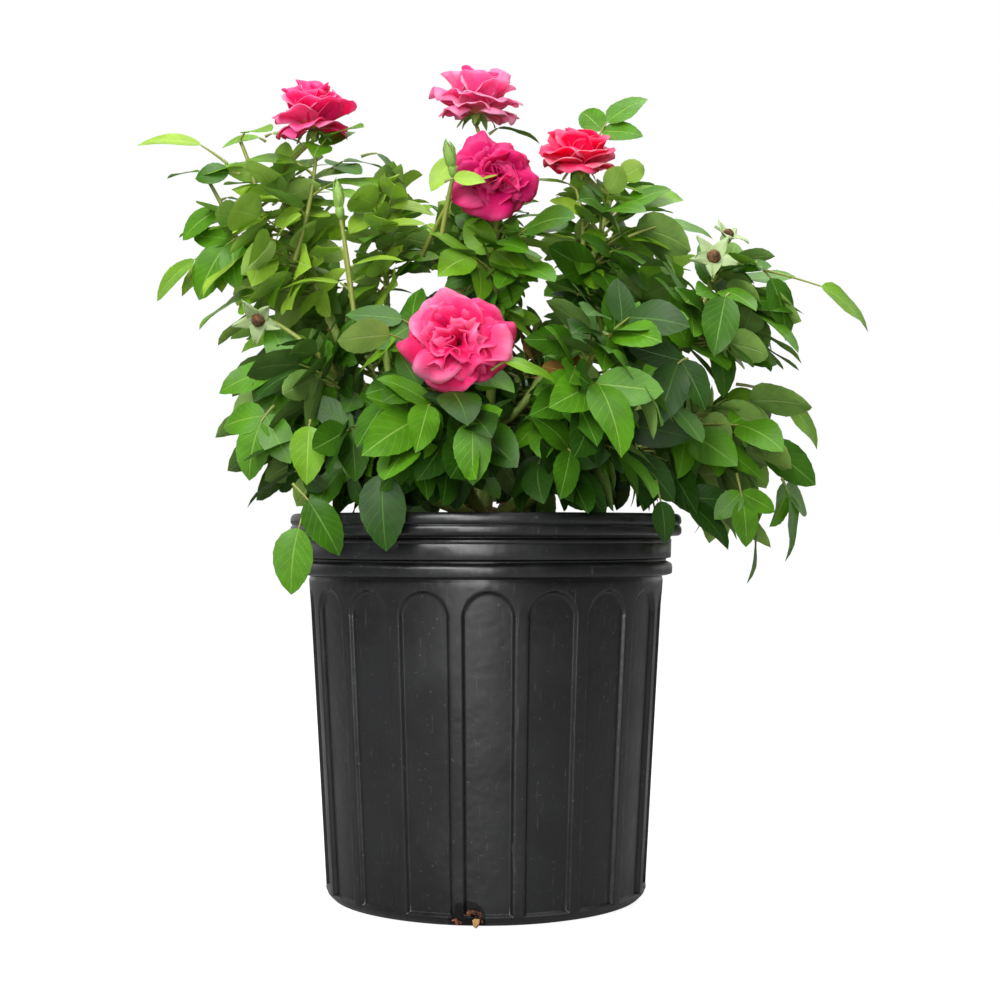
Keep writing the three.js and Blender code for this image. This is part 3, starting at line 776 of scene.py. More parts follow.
@dataclass
class Places:
    """Where the copies of small forms go, and which form and finish each one has."""

    at: list[Array] = field(default_factory=list)
    along: list[Array] = field(default_factory=list)
    upper: list[Array] = field(default_factory=list)
    size: list[float] = field(default_factory=list)
    form: list[int] = field(default_factory=list)
    finish: list[int] = field(default_factory=list)

    def put(self, at: Array, along: Array, upper: Array, size: float, form: int, finish: int) -> None:
        """Adds one copy.

        Args:
            at: The place of its root, in millimetres.
            along: The way its length points.
            upper: The way its upper side looks.
            size: Its length in millimetres.
            form: The number of its form.
            finish: The number of its finish.
        """
        for values, value in zip(vars(self).values(), (at, along, upper, size, form, finish)):
            values.append(value)

    def take(self, other: "Places") -> None:
        """Takes over the copies of another set."""
        for values, more in zip(vars(self).values(), vars(other).values()):
            values.extend(more)

    def mesh(self, name: str) -> Mesh:
        """Makes a mesh of loose points that carry the copies' facts.

        Args:
            name: The mesh's name.

        Returns:
            The mesh.
        """
        mesh = bpy.data.meshes.new(name)
        mesh.from_pydata((np.array(self.at) / METRE).tolist(), [], [])
        for label, values in (("along", self.along), ("upper", self.upper)):
            layer = mesh.attributes.new(label, "FLOAT_VECTOR", "POINT")
            layer.data.foreach_set("vector", np.array(values, np.float32).ravel())
        for label, kind, values in (
            ("size", "FLOAT", np.array(self.size, np.float32) / METRE),
            ("form", "INT", np.array(self.form, np.int32)),
            ("finish", "INT", np.array(self.finish, np.int32)),
        ):
            mesh.attributes.new(label, kind, "POINT").data.foreach_set("value", values)
        return mesh


def copies_tree(name: str, finishes: Sequence[tuple[Finish, Finish]]) -> Tree:
    """Builds the tree that sets a form on each point and gives both its sides their finish.

    Args:
        name: The tree's name.
        finishes: The upper and the lower finish for each finish number.

    Returns:
        The tree.
    """
    sizes = {"Forms": ("Collection", None), "Size": ("Float", 1.0), "Spread": ("Float", 0.0)}
    tree, given = start_tree(name, sizes | {"Seed": ("Int", 1)})
    spread = given.outputs["Spread"]
    forms = add_node(tree, "GeometryNodeCollectionInfo", given.outputs["Forms"], True, True)
    along = add_node(tree, "GeometryNodeInputNamedAttribute", "along", data_type="FLOAT_VECTOR")
    over = add_node(tree, "GeometryNodeInputNamedAttribute", "upper", data_type="FLOAT_VECTOR")
    turn = add_node(tree, "FunctionNodeAxesToRotation", along, over, primary_axis="Y", secondary_axis="Z")
    # Each copy is as long as its point says, give or take the spread
    least = add_node(tree, "ShaderNodeMath", 1.0, spread, operation="SUBTRACT")
    most = add_node(tree, "ShaderNodeMath", 1.0, spread, operation="ADD")
    ends = {2: least, 3: most, "Seed": given.outputs["Seed"]}
    chance = add_node(tree, "FunctionNodeRandomValue", sockets=ends, data_type="FLOAT").outputs[1]
    varied = add_node(tree, "ShaderNodeMath", chance, given.outputs["Size"], operation="MULTIPLY")
    size = add_node(tree, "GeometryNodeInputNamedAttribute", "size", data_type="FLOAT")
    scale = add_node(tree, "ShaderNodeMath", size, varied, operation="MULTIPLY")
    form = add_node(tree, "GeometryNodeInputNamedAttribute", "form", data_type="INT")
    copy = {"Instance": forms, "Pick Instance": True, "Instance Index": form, "Rotation": turn}
    copies = add_node(tree, "GeometryNodeInstanceOnPoints", given, sockets=copy | {"Scale": scale})
    shape = add_node(tree, "GeometryNodeRealizeInstances", copies)
    lower = add_node(tree, "GeometryNodeInputNamedAttribute", "lower_side", data_type="BOOLEAN")
    upper = add_node(tree, "FunctionNodeBooleanMath", lower, operation="NOT")
    kind = add_node(tree, "GeometryNodeInputNamedAttribute", "finish", data_type="INT")
    for number, pair in enumerate(finishes):
        same = add_node(
            tree, "FunctionNodeCompare", sockets={2: kind, 3: number}, data_type="INT", operation="EQUAL"
        )
        for side, finish in zip((upper, lower), pair):
            both = add_node(tree, "FunctionNodeBooleanMath", same, side, operation="AND")
            shape = add_node(tree, "GeometryNodeSetMaterial", shape, both, material_of(finish))
    add_node(tree, "NodeGroupOutput", shape)
    return tree


@dataclass
class CopySet:
    """Small forms that are copied many times with one tree."""

    name: str
    forms: list[Mesh]
    finishes: Sequence[tuple[Finish, Finish]]
    spread: float = 0.0
    seed: int = 7

    def __post_init__(self) -> None:
        """Keeps the forms in a collection outside the scene."""
        self.shelf = bpy.data.collections.new(self.name + "_forms")
        for number, mesh in enumerate(self.forms):
            self.shelf.objects.link(bpy.data.objects.new(f"{self.name}_{number:02d}", mesh))
        self.tree = copies_tree(self.name, self.finishes)

    def piece(self, name: str, places: Places) -> Piece:
        """Sets the forms out at their places as one joined piece."""
        settings = {"Forms": self.shelf, "Spread": self.spread, "Seed": self.seed}
        return grown(name, places.mesh(name), self.tree, settings)


@dataclass
class Runs:
    """Lines of points with a radius at each, for stems, twigs and stalks."""

    points: list[Array] = field(default_factory=list)
    radii: list[Array] = field(default_factory=list)

    def put(self, points: Array, foot: float, tip: float) -> None:
        """Adds a line in millimetres that tapers evenly from its foot's radius to its tip's."""
        self.points.append(points)
        self.radii.append(np.linspace(foot, tip, len(points)))

    def mesh(self, name: str) -> Mesh:
        """Makes a mesh of edges, with each point's radius in metres as an attribute.

        Args:
            name: The mesh's name.

        Returns:
            The mesh.
        """
        edges = []
        first = 0
        for line in self.points:
            edges += [(first + step, first + step + 1) for step in range(len(line) - 1)]
            first += len(line)
        mesh = bpy.data.meshes.new(name)
        mesh.from_pydata((np.vstack(self.points) / METRE).tolist(), edges, [])
        layer = mesh.attributes.new("girth", "FLOAT", "POINT")
        layer.data.foreach_set("value", (np.concatenate(self.radii) / METRE).astype(np.float32))
        return mesh


def stem_tree(name: str, finish: Finish, relief: bool) -> Tree:
    """Builds the tree that makes round stems of lines, with leaf scars and ridges on thick ones.

    Args:
        name: The tree's name.
        finish: The stems' finish.
        relief: Whether the skin gets its swellings and ridges.

    Returns:
        The tree.
    """
    sizes = {
        "Sides": ("Int", 6),
        "Step": ("Float", 0.0025),
        "Ridge depth": ("Float", 0.0003),
        "Ridge size": ("Float", 0.004),
        "Scar spacing": ("Float", 0.03),
        "Scar height": ("Float", 0.0006),
    }
    tree, given = start_tree(name, sizes)
    size = given.outputs
    line = add_node(tree, "GeometryNodeMeshToCurve", given)
    if relief:
        step = {"Length": size["Step"]}
        line = add_node(tree, "GeometryNodeResampleCurve", line, sockets=step, mode="LENGTH")
    length = add_node(tree, "GeometryNodeSplineParameter").outputs["Length"]
    stored = {"Name": "distance", "Value": length}
    line = add_node(
        tree, "GeometryNodeStoreNamedAttribute", line, sockets=stored, data_type="FLOAT", domain="POINT"
    )
    ring = add_node(
        tree, "GeometryNodeCurvePrimitiveCircle", sockets={"Resolution": size["Sides"], "Radius": 1.0}
    )
    girth = add_node(tree, "GeometryNodeInputNamedAttribute", "girth", data_type="FLOAT")
    skin = add_node(tree, "GeometryNodeCurveToMesh", line, ring, sockets={"Scale": girth, "Fill Caps": True})
    if relief:
        # A scar swells the stem where each old leaf sat
        distance = add_node(tree, "GeometryNodeInputNamedAttribute", "distance", data_type="FLOAT")
        share = add_node(tree, "ShaderNodeMath", distance, size["Scar spacing"], operation="DIVIDE")
        near = add_node(tree, "ShaderNodeMath", share, 0.5, operation="PINGPONG")
        swell = add_node(tree, "ShaderNodeMapRange", near, 0.38, 0.5, 0, 1, **SMOOTH)
        scar = add_node(tree, "ShaderNodeMath", swell, size["Scar height"], operation="MULTIPLY")
        fine = add_node(tree, "ShaderNodeMath", 1.0, size["Ridge size"], operation="DIVIDE")
        rough = add_node(tree, "ShaderNodeTexNoise", sockets={"Scale": fine, "Detail": 2.0})
        ridge = add_node(tree, "ShaderNodeMath", rough, size["Ridge depth"], scar, operation="MULTIPLY_ADD")
        normal = add_node(tree, "GeometryNodeInputNormal")
        push = add_node(tree, "ShaderNodeVectorMath", normal, sockets={3: ridge}, operation="SCALE")
        skin = add_node(tree, "GeometryNodeSetPosition", skin, sockets={"Offset": push})
    smooth = add_node(tree, "GeometryNodeSetShadeSmooth", skin)
    dressed = add_node(tree, "GeometryNodeSetMaterial", smooth, sockets={"Material": material_of(finish)})
    add_node(tree, "NodeGroupOutput", dressed)
    return tree


# How the bush grows

@dataclass(frozen=True)
class Path:
    """A smooth curve in millimetres that control points pull on."""

    controls: tuple[Triple, ...]

    @classmethod
    def through(cls, *points: Array) -> "Path":
        """Makes a path of its control points."""
        return cls(tuple(tuple(point.tolist()) for point in points))

    @classmethod
    def arched(cls, start: Array, end: Array, arch: float) -> "Path":
        """Makes a path between two points that arches upwards by a share of its span."""
        return cls.through(start, (start + end) / 2 + UP * arch * np.linalg.norm(end - start), end)

    def blend(self, points: Array, share: float | Array) -> Array:
        """Blends control points by their pull at a share.

        Args:
            points: The control points.
            share: The share, or shares, of the curve.

        Returns:
            The blend at each share.
        """
        degree = len(points) - 1
        where = np.asarray(share, float)[..., None]
        pulls = [math.comb(degree, i) * (1 - where) ** (degree - i) * where ** i for i in range(degree + 1)]
        return sum(pull * point for pull, point in zip(pulls, points))

    def point(self, share: float | Array) -> Array:
        """Gives the point, or points, at a share of the curve."""
        return self.blend(np.array(self.controls), share)

    def tangent(self, share: float) -> Array:
        """Gives the way the curve runs at a share."""
        return unit(self.blend(np.diff(np.array(self.controls), axis=0), share))


@dataclass(frozen=True)
class Mass:
    """A mass of foliage: its own space round a heart, and what carries it."""

    name: str
    heart: Triple
    reach: float
    bearing: float | None = None
    parent: str | None = None
    ring: int = 0
    youth: float = 2.0

    @property
    def centre(self) -> Array:
        """The heart as an array."""
        return np.array(self.heart, float)

    @property
    def outward(self) -> Array:
        """The way from the crown's middle to the heart."""
        return unit(self.centre - CROWN_MIDDLE)


CROWN_MIDDLE = vector(0, 0, 300)
# Each mass's youth lifts or lowers its greens; the darkest of them are partly painted shade
MASSES = (
    Mass("right_upper", (140, -16, 354), 82, bearing=0, youth=1.6),
    Mass("back_right", (88, 106, 350), 104, bearing=48, youth=1.6),
    Mass("back_upper", (-20, 84, 384), 96, bearing=98, youth=1.7),
    Mass("back_left", (-102, 102, 344), 100, bearing=140, youth=1.6),
    Mass("upper_left", (-128, -14, 412), 82, bearing=186, youth=3.5),
    Mass("front", (-26, -100, 312), 88, bearing=262, youth=1.4),
    Mass("front_right", (66, -94, 306), 88, bearing=310, youth=1.2),
    Mass("top_centre", (6, -32, 392), 82, youth=2.1),
    Mass("left", (-96, -58, 300), 86, bearing=224, youth=1.3),
    Mass("upper_right", (76, 0, 402), 84, parent="top_centre", ring=4, youth=2.0),
    Mass("right_lower", (142, -4, 280), 88, parent="right_upper", ring=3, youth=2.1),
    Mass("back_lower", (-8, 140, 300), 96, parent="back_upper", ring=3, youth=1.4),
    Mass("centre", (30, 20, 334), 88, parent="top_centre", ring=2, youth=0.9),
    Mass("upper_middle", (-62, -12, 400), 80, parent="upper_left", ring=4, youth=3.4),
)
ORDER = {mass.name: order for order, mass in enumerate(MASSES)}


@dataclass(frozen=True)
class LimbForm:
    """The sizes of a kind of limb."""

    foot_radius: float
    tip_radius: float
    foot_pull: float
    tip_pull: float


@dataclass
class Limb:
    """A cane or bough, with the way that it enters its mass."""

    form: LimbForm
    path: Path
    tip: Array
    way: Array


@dataclass
class Frame:
    """The limbs and leaders that the leaves grow on, worked out as the solids' limbs are."""

    cane: LimbForm = LimbForm(4.0, 2.4, 0.3, 0.35)
    bough: LimbForm = LimbForm(2.8, 2.0, 0.25, 0.35)
    hub: Triple = (0, 0, 230.3)
    base_radius: float = 20.0
    clearance: float = 0.3
    rise: float = 40.0
    rings: int = 8
    stand: float = 0.45
    entry_share: float = 0.9
    entry_travel: float = 0.72
    entry_step: float = 0.06
    entry_least: float = 0.3
    entry_inside: float = 4.0
    entry_lift: float = 0.6
    leader_lift: float = 0.5
    leader_forward: float = 0.1
    leader_back: float = 0.2
    leader_pull: float = 0.45
    beads_each: int = 60
    limbs: dict[str, Limb] = field(default_factory=dict)
    leaders: dict[str, Path] = field(default_factory=dict)

    def __post_init__(self) -> None:
        """Works out each limb and each leader."""
        for mass in MASSES:
            limb = self.bough_for(mass) if mass.parent else self.cane_for(mass)
            self.limbs[mass.name] = limb
            self.leaders[mass.name] = self.leader_for(mass, limb)
        self.beads, self.bead_radii = self.limb_beads()

    def own_side(self, points: Array, mass: Mass, other: Mass) -> Array:
        """Finds how far points lie on a mass's own side of the plane that parts it from another.

        Args:
            points: Points in millimetres.
            mass: The mass.
            other: The other mass.

        Returns:
            A distance for each point, under 0 on the other's side.
        """
        own = ((points - mass.centre) ** 2).sum(axis=-1) - mass.reach ** 2
        others = ((points - other.centre) ** 2).sum(axis=-1) - other.reach ** 2
        return (others - own) / (2 * np.linalg.norm(mass.centre - other.centre))

    def in_cell(self, points: Array, mass: Mass, margin: float) -> bool:
        """Tells if all points lie in a mass's cell by a margin."""
        others = (other for other in MASSES if other is not mass)
        return all((self.own_side(points, mass, other) > margin).all() for other in others)

    def in_space(self, points: Array, mass: Mass, margin: float) -> bool:
        """Tells if all points lie in a mass's cell by a margin, and within its reach."""
        near = np.linalg.norm(points - mass.centre, axis=-1) < mass.reach
        return bool(near.all()) and self.in_cell(points, mass, margin)

    def entry(self, mass: Mass, start: Array) -> tuple[Array, Array]:
        """Finds where a limb from a point enters its mass.

        Args:
            mass: The mass.
            start: The point that the limb comes from.

        Returns:
            The limb's tip, and the way that it points there.
        """
        inward = unit(mass.centre - start)
        farthest = self.entry_travel * np.linalg.norm(mass.centre - start)
        depth = min(self.entry_share * mass.reach, farthest)
        tip = mass.centre - inward * depth
        while depth > self.entry_least * mass.reach and not self.in_cell(tip, mass, self.entry_inside):
            depth -= self.entry_step * mass.reach
            tip = mass.centre - inward * depth
        return tip, unit(inward + UP * self.entry_lift)

    def limb(self, form: LimbForm, foot: Array, foot_way: Array, tip: Array, tip_way: Array) -> Limb:
        """Bends a limb from its foot to its tip.

        Args:
            form: The limb's sizes.
            foot: Its foot.
            foot_way: The way it leaves.
            tip: Its tip.
            tip_way: The way it ends.

        Returns:
            The limb.
        """
        span = np.linalg.norm(tip - foot)
        control = foot + foot_way * span * form.foot_pull
        approach = tip - tip_way * span * form.tip_pull
        return Limb(form, Path.through(foot, control, approach, tip), tip, tip_way)

    def cane_for(self, mass: Mass) -> Limb:
        """Sends a cane from the stem base to its mass.

        Args:
            mass: The mass.

        Returns:
            The cane.
        """
        rise = math.radians(90 if mass.bearing is None else self.rise)
        bearing = math.radians(mass.bearing or 0)
        level = math.cos(rise)
        way = vector(math.cos(bearing) * level, math.sin(bearing) * level, math.sin(rise))
        hub = np.array(self.hub, float)
        foot = hub + way * (self.base_radius + self.clearance)
        return self.limb(self.cane, foot, way, *self.entry(mass, hub))

    def bough_for(self, mass: Mass) -> Limb:
        """Sends a bough from its parent's ring to its mass.

        Args:
            mass: The mass.

        Returns:
            The bough.
        """
        parent = self.limbs[mass.parent]
        share = mass.ring / self.rings
        root = parent.path.point(share)
        along = parent.path.tangent(share)
        way = mass.centre - root
        way = unit(way - along * np.dot(way, along))
        radius = parent.form.foot_radius + (parent.form.tip_radius - parent.form.foot_radius) * share
        foot = root + way * (radius + self.stand)
        return self.limb(self.bough, foot, way, *self.entry(mass, root))

    def leader_for(self, mass: Mass, limb: Limb) -> Path:
        """Carries a limb on through its mass.

        Args:
            mass: The mass.
            limb: The limb that enters it.

        Returns:
            The leader's path.
        """
        foot = limb.tip + limb.way * self.clearance
        top = mass.centre + UP * self.leader_lift * mass.reach
        top = top + mass.outward * self.leader_forward * mass.reach
        while not self.in_cell(top, mass, self.entry_inside):
            top = top + (mass.centre - top) * self.leader_back
        control = foot + limb.way * np.linalg.norm(top - foot) * self.leader_pull
        return Path.through(foot, control, top)

    def limb_beads(self) -> tuple[Array, Array]:
        """Strings points along each limb for keeping leaves off it.

        Returns:
            The points, and the limb's radius at each.
        """
        shares = np.linspace(0, 1, self.beads_each)
        limbs = self.limbs.values()
        points = [limb.path.point(shares) for limb in limbs]
        radii = [np.linspace(limb.form.foot_radius, limb.form.tip_radius, len(shares)) for limb in limbs]
        return np.vstack(points), np.concatenate(radii)


@dataclass(frozen=True)
class Spray:
    """A compound leaf that is set where the plant shows it: its foot, its tip and its look."""

    mass: str
    foot: Triple
    tip: Triple
    tint: int = 2
    pairs: int = 1
    length: float = 36.0
    light: Triple = (0, -0.45, 1)
    arch: float = 0.22


@dataclass(frozen=True)
class Shoot:
    """A green shoot that stands clear of the crown, with leaves round its upper part."""

    mass: str
    foot: Triple
    tip: Triple
    sway: Triple
    leaves: int = 4
    first_turn: float = 200.0
    reach: float = 58.0
    tint: int = 4
    bare: float = 0.4


@dataclass
class Leaf:
    """One compound leaf before it is set out: its stalk line and its leaflets."""

    line: Array
    roots: list[Array]
    ways: list[Array]
    uppers: list[Array]
    lengths: list[float]


# Where a leaflet is tested: shares of its length, and shares of it aside of the midrib
TEST_ALONG = (0.12, 0.35, 0.6, 0.85, 0.3, 0.55, 0.3, 0.55)
TEST_ASIDE = (0, 0, 0, 0, 0.26, 0.24, -0.26, -0.24)


@dataclass
class Foliage:
    """The leaves of all masses, grown by the solids' rule and carried to finer twigs."""

    skeleton: Frame
    studio: "Studio"
    sites: int = 200
    turn: float = GOLDEN_TURN
    mass_turn: float = 70.0
    low: float = 0.1
    high: float = 0.97
    foot_climb: float = -0.6
    top_climb: float = 0.55
    outward: float = 0.35
    arch: float = 0.2
    full: float = 0.7
    sizes: tuple[float, ...] = (1.0, 0.85, 0.7, 0.58)
    march: float = 4.0
    edge_margin: float = 0.8
    least_reach: float = 30.0
    leaflet: tuple[float, float] = (36.0, 47.0)
    length_spread: tuple[float, float] = (0.92, 1.08)
    marked_spread: tuple[float, float] = (0.94, 1.06)
    share_of_arch: float = 0.66
    marked_share: float = 0.85
    bare_stalk: float = 0.1
    tip_foot: float = 0.6
    most_pairs: int = 3
    pair_length: float = 0.87
    pair_shrink: float = 0.08
    first_pair: float = 0.16
    pair_spacing: float = 0.58
    pair_angle: float = 62.0
    droop: float = 0.12
    stray: float = 0.27
    light_heights: tuple[float, float] = (280.0, 450.0)
    light_up: tuple[float, float] = (0.3, 0.9)
    light_outward: tuple[float, float] = (0.8, 0.6)
    light_aside: tuple[float, float] = (0.7, 0.55)
    cross_over: float = -7.0
    bloom_air: float = 120.0
    bloom_depth: float = 0.9
    bloom_halo: float = 0.53
    limb_gap: float = 2.0
    pot_gap: float = 2.5
    stalk_gap: float = 1.6
    leaf_gap: float = 3.4
    pot_radius: float = 126.0
    pot_height: float = 245.0
    twig_foot: float = 1.15
    twig_tip: float = 0.55
    shoot_foot: float = 1.9
    shoot_tip: float = 1.2
    shoot_depth: float = 0.6
    shoot_climb: tuple[float, float] = (0.1, 0.5)
    shoot_reach: tuple[float, float] = (0.8, 1.1)
    shoot_taper: tuple[float, float] = (1.1, 0.3)
    shoot_lean: tuple[float, float] = (0.3, 0.35)
    shoot_leaflet: tuple[float, float] = (32.0, 42.0)
    older_share: float = 0.35
    crown_shape: Triple = (1.0, 0.75, 0.9)
    crown_reach: float = 200.0
    tint_by_depth: float = 1.4
    even_depth: float = 0.8
    tint_by_height: float = 0.004
    even_height: float = 360.0
    tint_spread: float = 1.4
    rust_chance: float = 0.008
    forms: int = 12

    def __post_init__(self) -> None:
        """Starts with nothing grown."""
        self.taken = np.empty((0, 3))
        self.places: dict[str, Places] = {mass.name: Places() for mass in MASSES}
        self.twigs = Runs()

    def edge_distance(self, start: Array, way: Array, mass: Mass) -> float:
        """Marches from a point to the edge of its mass's space.

        Args:
            start: The point.
            way: The way to march.
            mass: The mass.

        Returns:
            The distance that stays inside.
        """
        distance = 0.0
        while self.skeleton.in_space(start + way * (distance + self.march), mass, self.edge_margin):
            distance += self.march
        return distance

    def light_at(self, point: Array, bearing: float) -> Array:
        """Finds the way a leaf's upper side looks: up, out of the crown and a little aside.

        Args:
            point: The leaf's tip.
            bearing: The bearing that it leans to, in radians.

        Returns:
            The way.
        """
        share = float(np.clip(np.interp(point[2], self.light_heights, (0, 1)), 0, 1))
        up, outward, aside = (
            low + (high - low) * share for low, high in (self.light_up, self.light_outward, self.light_aside)
        )
        level = unit(vector(point[0], point[1], 0))
        return unit(UP * up + level * outward + vector(math.cos(bearing), math.sin(bearing), 0) * aside)

    def leaf_on(self, path: Path, pairs: int, full: float, light: Array, marked: bool = False) -> Leaf:
        """Lays a compound leaf along a path: the end leaflet, then pairs towards the foot.

        Args:
            path: The leaf's arch from its foot to its tip.
            pairs: The most pairs of leaflets.
            full: The length of the end leaflet where the path is long enough for it.
            light: The way the upper sides look.
            marked: Whether its size was read off the plant.

        Returns:
            The leaf.
        """
        start, end = path.point(0.0), path.point(1.0)
        span = float(np.linalg.norm(end - start))
        length = min(full, (self.marked_share if marked else self.share_of_arch) * span)
        end_root = 1 - length / span
        root = path.point(end_root)
        way = unit(unit(end - root) - UP * self.droop)
        leaf = Leaf(path.point(np.linspace(0, end_root, 6)), [root], [way], [], [length])
        angle = math.radians(self.pair_angle)
        for pair in range(pairs):
            at = end_root - (self.first_pair + pair * self.pair_spacing) * length / span
            if at < self.bare_stalk:
                break
            along = path.tangent(at)
            side = unit(np.cross(along, light))
            for hand in (1, -1):
                way = along * math.cos(angle) + side * hand * math.sin(angle) - UP * self.droop
                leaf.roots.append(path.point(at))
                leaf.ways.append(unit(way))
                leaf.lengths.append(length * self.pair_length * (1 - self.pair_shrink * pair))
        leaf.uppers = [np.cross(unit(np.cross(way, light)), way) for way in leaf.ways]
        return leaf

    def samples(self, root: Array, way: Array, upper: Array, length: float) -> Array:
        """Strews points on a leaflet for the tests of where it lies."""
        side = np.cross(way, upper)
        return root + length * (np.outer(TEST_ALONG, way) + np.outer(TEST_ASIDE, side))

    def fits(self, points: Array, mass: Mass, free: bool) -> bool:
        """Tells if points lie in their space, off the limbs and outside the pot.

        Args:
            points: The points.
            mass: The mass they belong to.
            free: Whether they may leave its reach, as marked tips do.

        Returns:
            True where they fit.
        """
        space = self.skeleton.in_cell if free else self.skeleton.in_space
        if not space(points, mass, self.cross_over) or self.in_open_air(points):
            return False
        gaps = np.linalg.norm(points[:, None] - self.skeleton.beads[None], axis=2)
        if (gaps < self.skeleton.bead_radii + self.limb_gap).any():
            return False
        beside = np.hypot(points[:, 0], points[:, 1]) > self.pot_radius + self.pot_gap
        return bool((beside | (points[:, 2] > self.pot_height + self.pot_gap)).all())

    def in_open_air(self, points: Array) -> bool:
        """Tells if any point would hide a bloom, or close a gap that sky shows through.

        Args:
            points: The points.

        Returns:
            True where one does.
        """
        for head in BLOOMS + SPENT:
            centre = np.array(head.at, float)
            for way, depth in ((head.way, self.bloom_depth * head.width), (-FRONT_TO_BACK, self.bloom_air)):
                along = np.clip((points - centre) @ way, 0, depth)
                away = np.linalg.norm(points - centre - np.outer(along, way), axis=1)
                if (away < self.bloom_halo * head.width).any():
                    return True
        across, down = self.studio.picture_of(points)
        return any((np.hypot(across - x, down - y) < radius).any() for x, y, radius in SKY_GAPS)

    def clear(self, points: Array, gap: float) -> bool:
        """Tells if points keep a gap to the leaves before them.

        Args:
            points: The points.
            gap: The gap in millimetres.

        Returns:
            True where they do.
        """
        middle = points.mean(axis=0)
        half = np.abs(points - middle).max() + gap
        near = self.taken[(np.abs(self.taken - middle) < half).all(axis=1)]
        if not len(near):
            return True
        return bool((np.linalg.norm(points[:, None] - near[None], axis=2) > gap).all())

    def set_leaf(self, mass: Mass, leaf: Leaf, free: bool, fewest: int, draw: Draws) -> bool:
        """Sets out as much of a leaf as fits, or nothing.

        Args:
            mass: The mass that it belongs to.
            leaf: The leaf.
            free: Whether it may leave the mass's reach.
            fewest: The fewest leaflets that it may keep.
            draw: The draws for its forms and tint.

        Returns:
            Whether it was set out.
        """
        if not self.fits(leaf.line[2:], mass, free) or not self.clear(leaf.line[3:], self.stalk_gap):
            return False
        kept = []
        for number, (root, way, upper, length) in enumerate(
            zip(leaf.roots, leaf.ways, leaf.uppers, leaf.lengths)
        ):
            own_way = unit(way + self.stray * draw.way())
            side = unit(np.cross(own_way, upper + 2 * self.stray * draw.way()))
            facts = (root, own_way, np.cross(side, own_way), length * draw.between(*self.length_spread))
            points = self.samples(*facts)
            if self.fits(points, mass, free) and self.clear(points[1:], self.leaf_gap):
                kept.append((facts, points))
            elif number == 0:
                return False
        if len(kept) < fewest:
            return False
        tint = self.tint_at(mass, leaf.roots[0], draw)
        for facts, points in kept:
            self.places[mass.name].put(*facts, int(draw() * self.forms), tint)
            self.taken = np.vstack([self.taken, points])
        self.carry(leaf)
        return True

    def carry(self, leaf: Leaf) -> None:
        """Gives a leaf that is set out its stalk."""
        self.twigs.put(leaf.line, self.twig_foot, self.twig_tip)
        self.taken = np.vstack([self.taken, leaf.line[3:]])

    def tint_at(self, mass: Mass, point: Array, draw: Draws) -> Tint:
        """Deals a spray its green: younger outside and higher, and darker inside and low, partly for age and
        partly as painted shade in the crown's depth.

        Args:
            mass: The mass that the spray belongs to.
            point: The root of its end leaflet.
            draw: The draws.

        Returns:
            The tint.
        """
        # Depth and height darken the green inside and low in the crown: part age, part painted shade
        depth = np.linalg.norm((point - CROWN_MIDDLE) / vector(*self.crown_shape)) / self.crown_reach
        age = mass.youth + self.tint_by_depth * (depth - self.even_depth)
        age += self.tint_by_height * (point[2] - self.even_height)
        age += draw.between(-self.tint_spread, self.tint_spread)
        if draw() < self.rust_chance:
            return Tint.RUST
        return Tint(int(np.clip(round(age), Tint.SHADE, Tint.YOUNG)))

    def grow_site(self, mass: Mass, site: int) -> None:
        """Grows the leaf of one site of a mass's leader, at smaller sizes until one fits.

        Args:
            mass: The mass.
            site: The site's number, from 1.
        """
        order = ORDER[mass.name]
        draw = Seed.SITE.draws(site, order)
        leader = self.skeleton.leaders[mass.name]
        share = self.low + (self.high - self.low) * even_share(site)
        start = leader.point(share)
        turn = math.radians(order * self.mass_turn + site * self.turn)
        rise = (share - self.low) / (self.high - self.low)
        climb = self.foot_climb + (self.top_climb - self.foot_climb) * rise
        level = math.sqrt(1 - climb ** 2)
        way = vector(math.cos(turn) * level, math.sin(turn) * level, climb)
        way = unit(way + mass.outward * self.outward)
        reach = self.edge_distance(start, way, mass) * draw.between(self.full, 1)
        bearing = FULL_TURN * draw()
        full = draw.between(*self.leaflet)
        for size in self.sizes:
            if reach * size < self.least_reach:
                return
            path = Path.arched(start, start + way * reach * size, self.arch)
            light = self.light_at(path.point(1.0), bearing)
            leaf = self.leaf_on(path, self.most_pairs, full * size ** 0.5, light)
            if self.set_leaf(mass, leaf, False, 2, draw):
                return

    def grow_tip(self, mass: Mass, tip: Array, number: int) -> None:
        """Grows a leaf to a marked tip, with its upper side leaning to the front.

        Args:
            mass: The mass.
            tip: The point that the end leaflet reaches.
            number: The tip's number, which seeds its draws.
        """
        start = self.skeleton.leaders[mass.name].point(self.tip_foot)
        light = self.light_at(tip, -math.pi / 2)
        leaf = self.leaf_on(Path.arched(start, tip, self.arch), self.most_pairs, self.leaflet[1], light)
        self.set_leaf(mass, leaf, True, 1, Seed.TIP.draws(number))

    def place(self, mass: Mass, leaf: Leaf, tint: Tint, draw: Draws) -> None:
        """Sets out a whole leaf without asking whether it fits.

        Args:
            mass: The mass that it belongs to.
            leaf: The leaf.
            tint: Its green.
            draw: The draws for its forms and sizes.
        """
        for root, way, upper, length in zip(leaf.roots, leaf.ways, leaf.uppers, leaf.lengths):
            form = int(draw() * self.forms)
            own_length = length * draw.between(*self.marked_spread)
            self.places[mass.name].put(root, way, upper, own_length, form, tint)
            self.taken = np.vstack([self.taken, self.samples(root, way, upper, length)])
        self.carry(leaf)

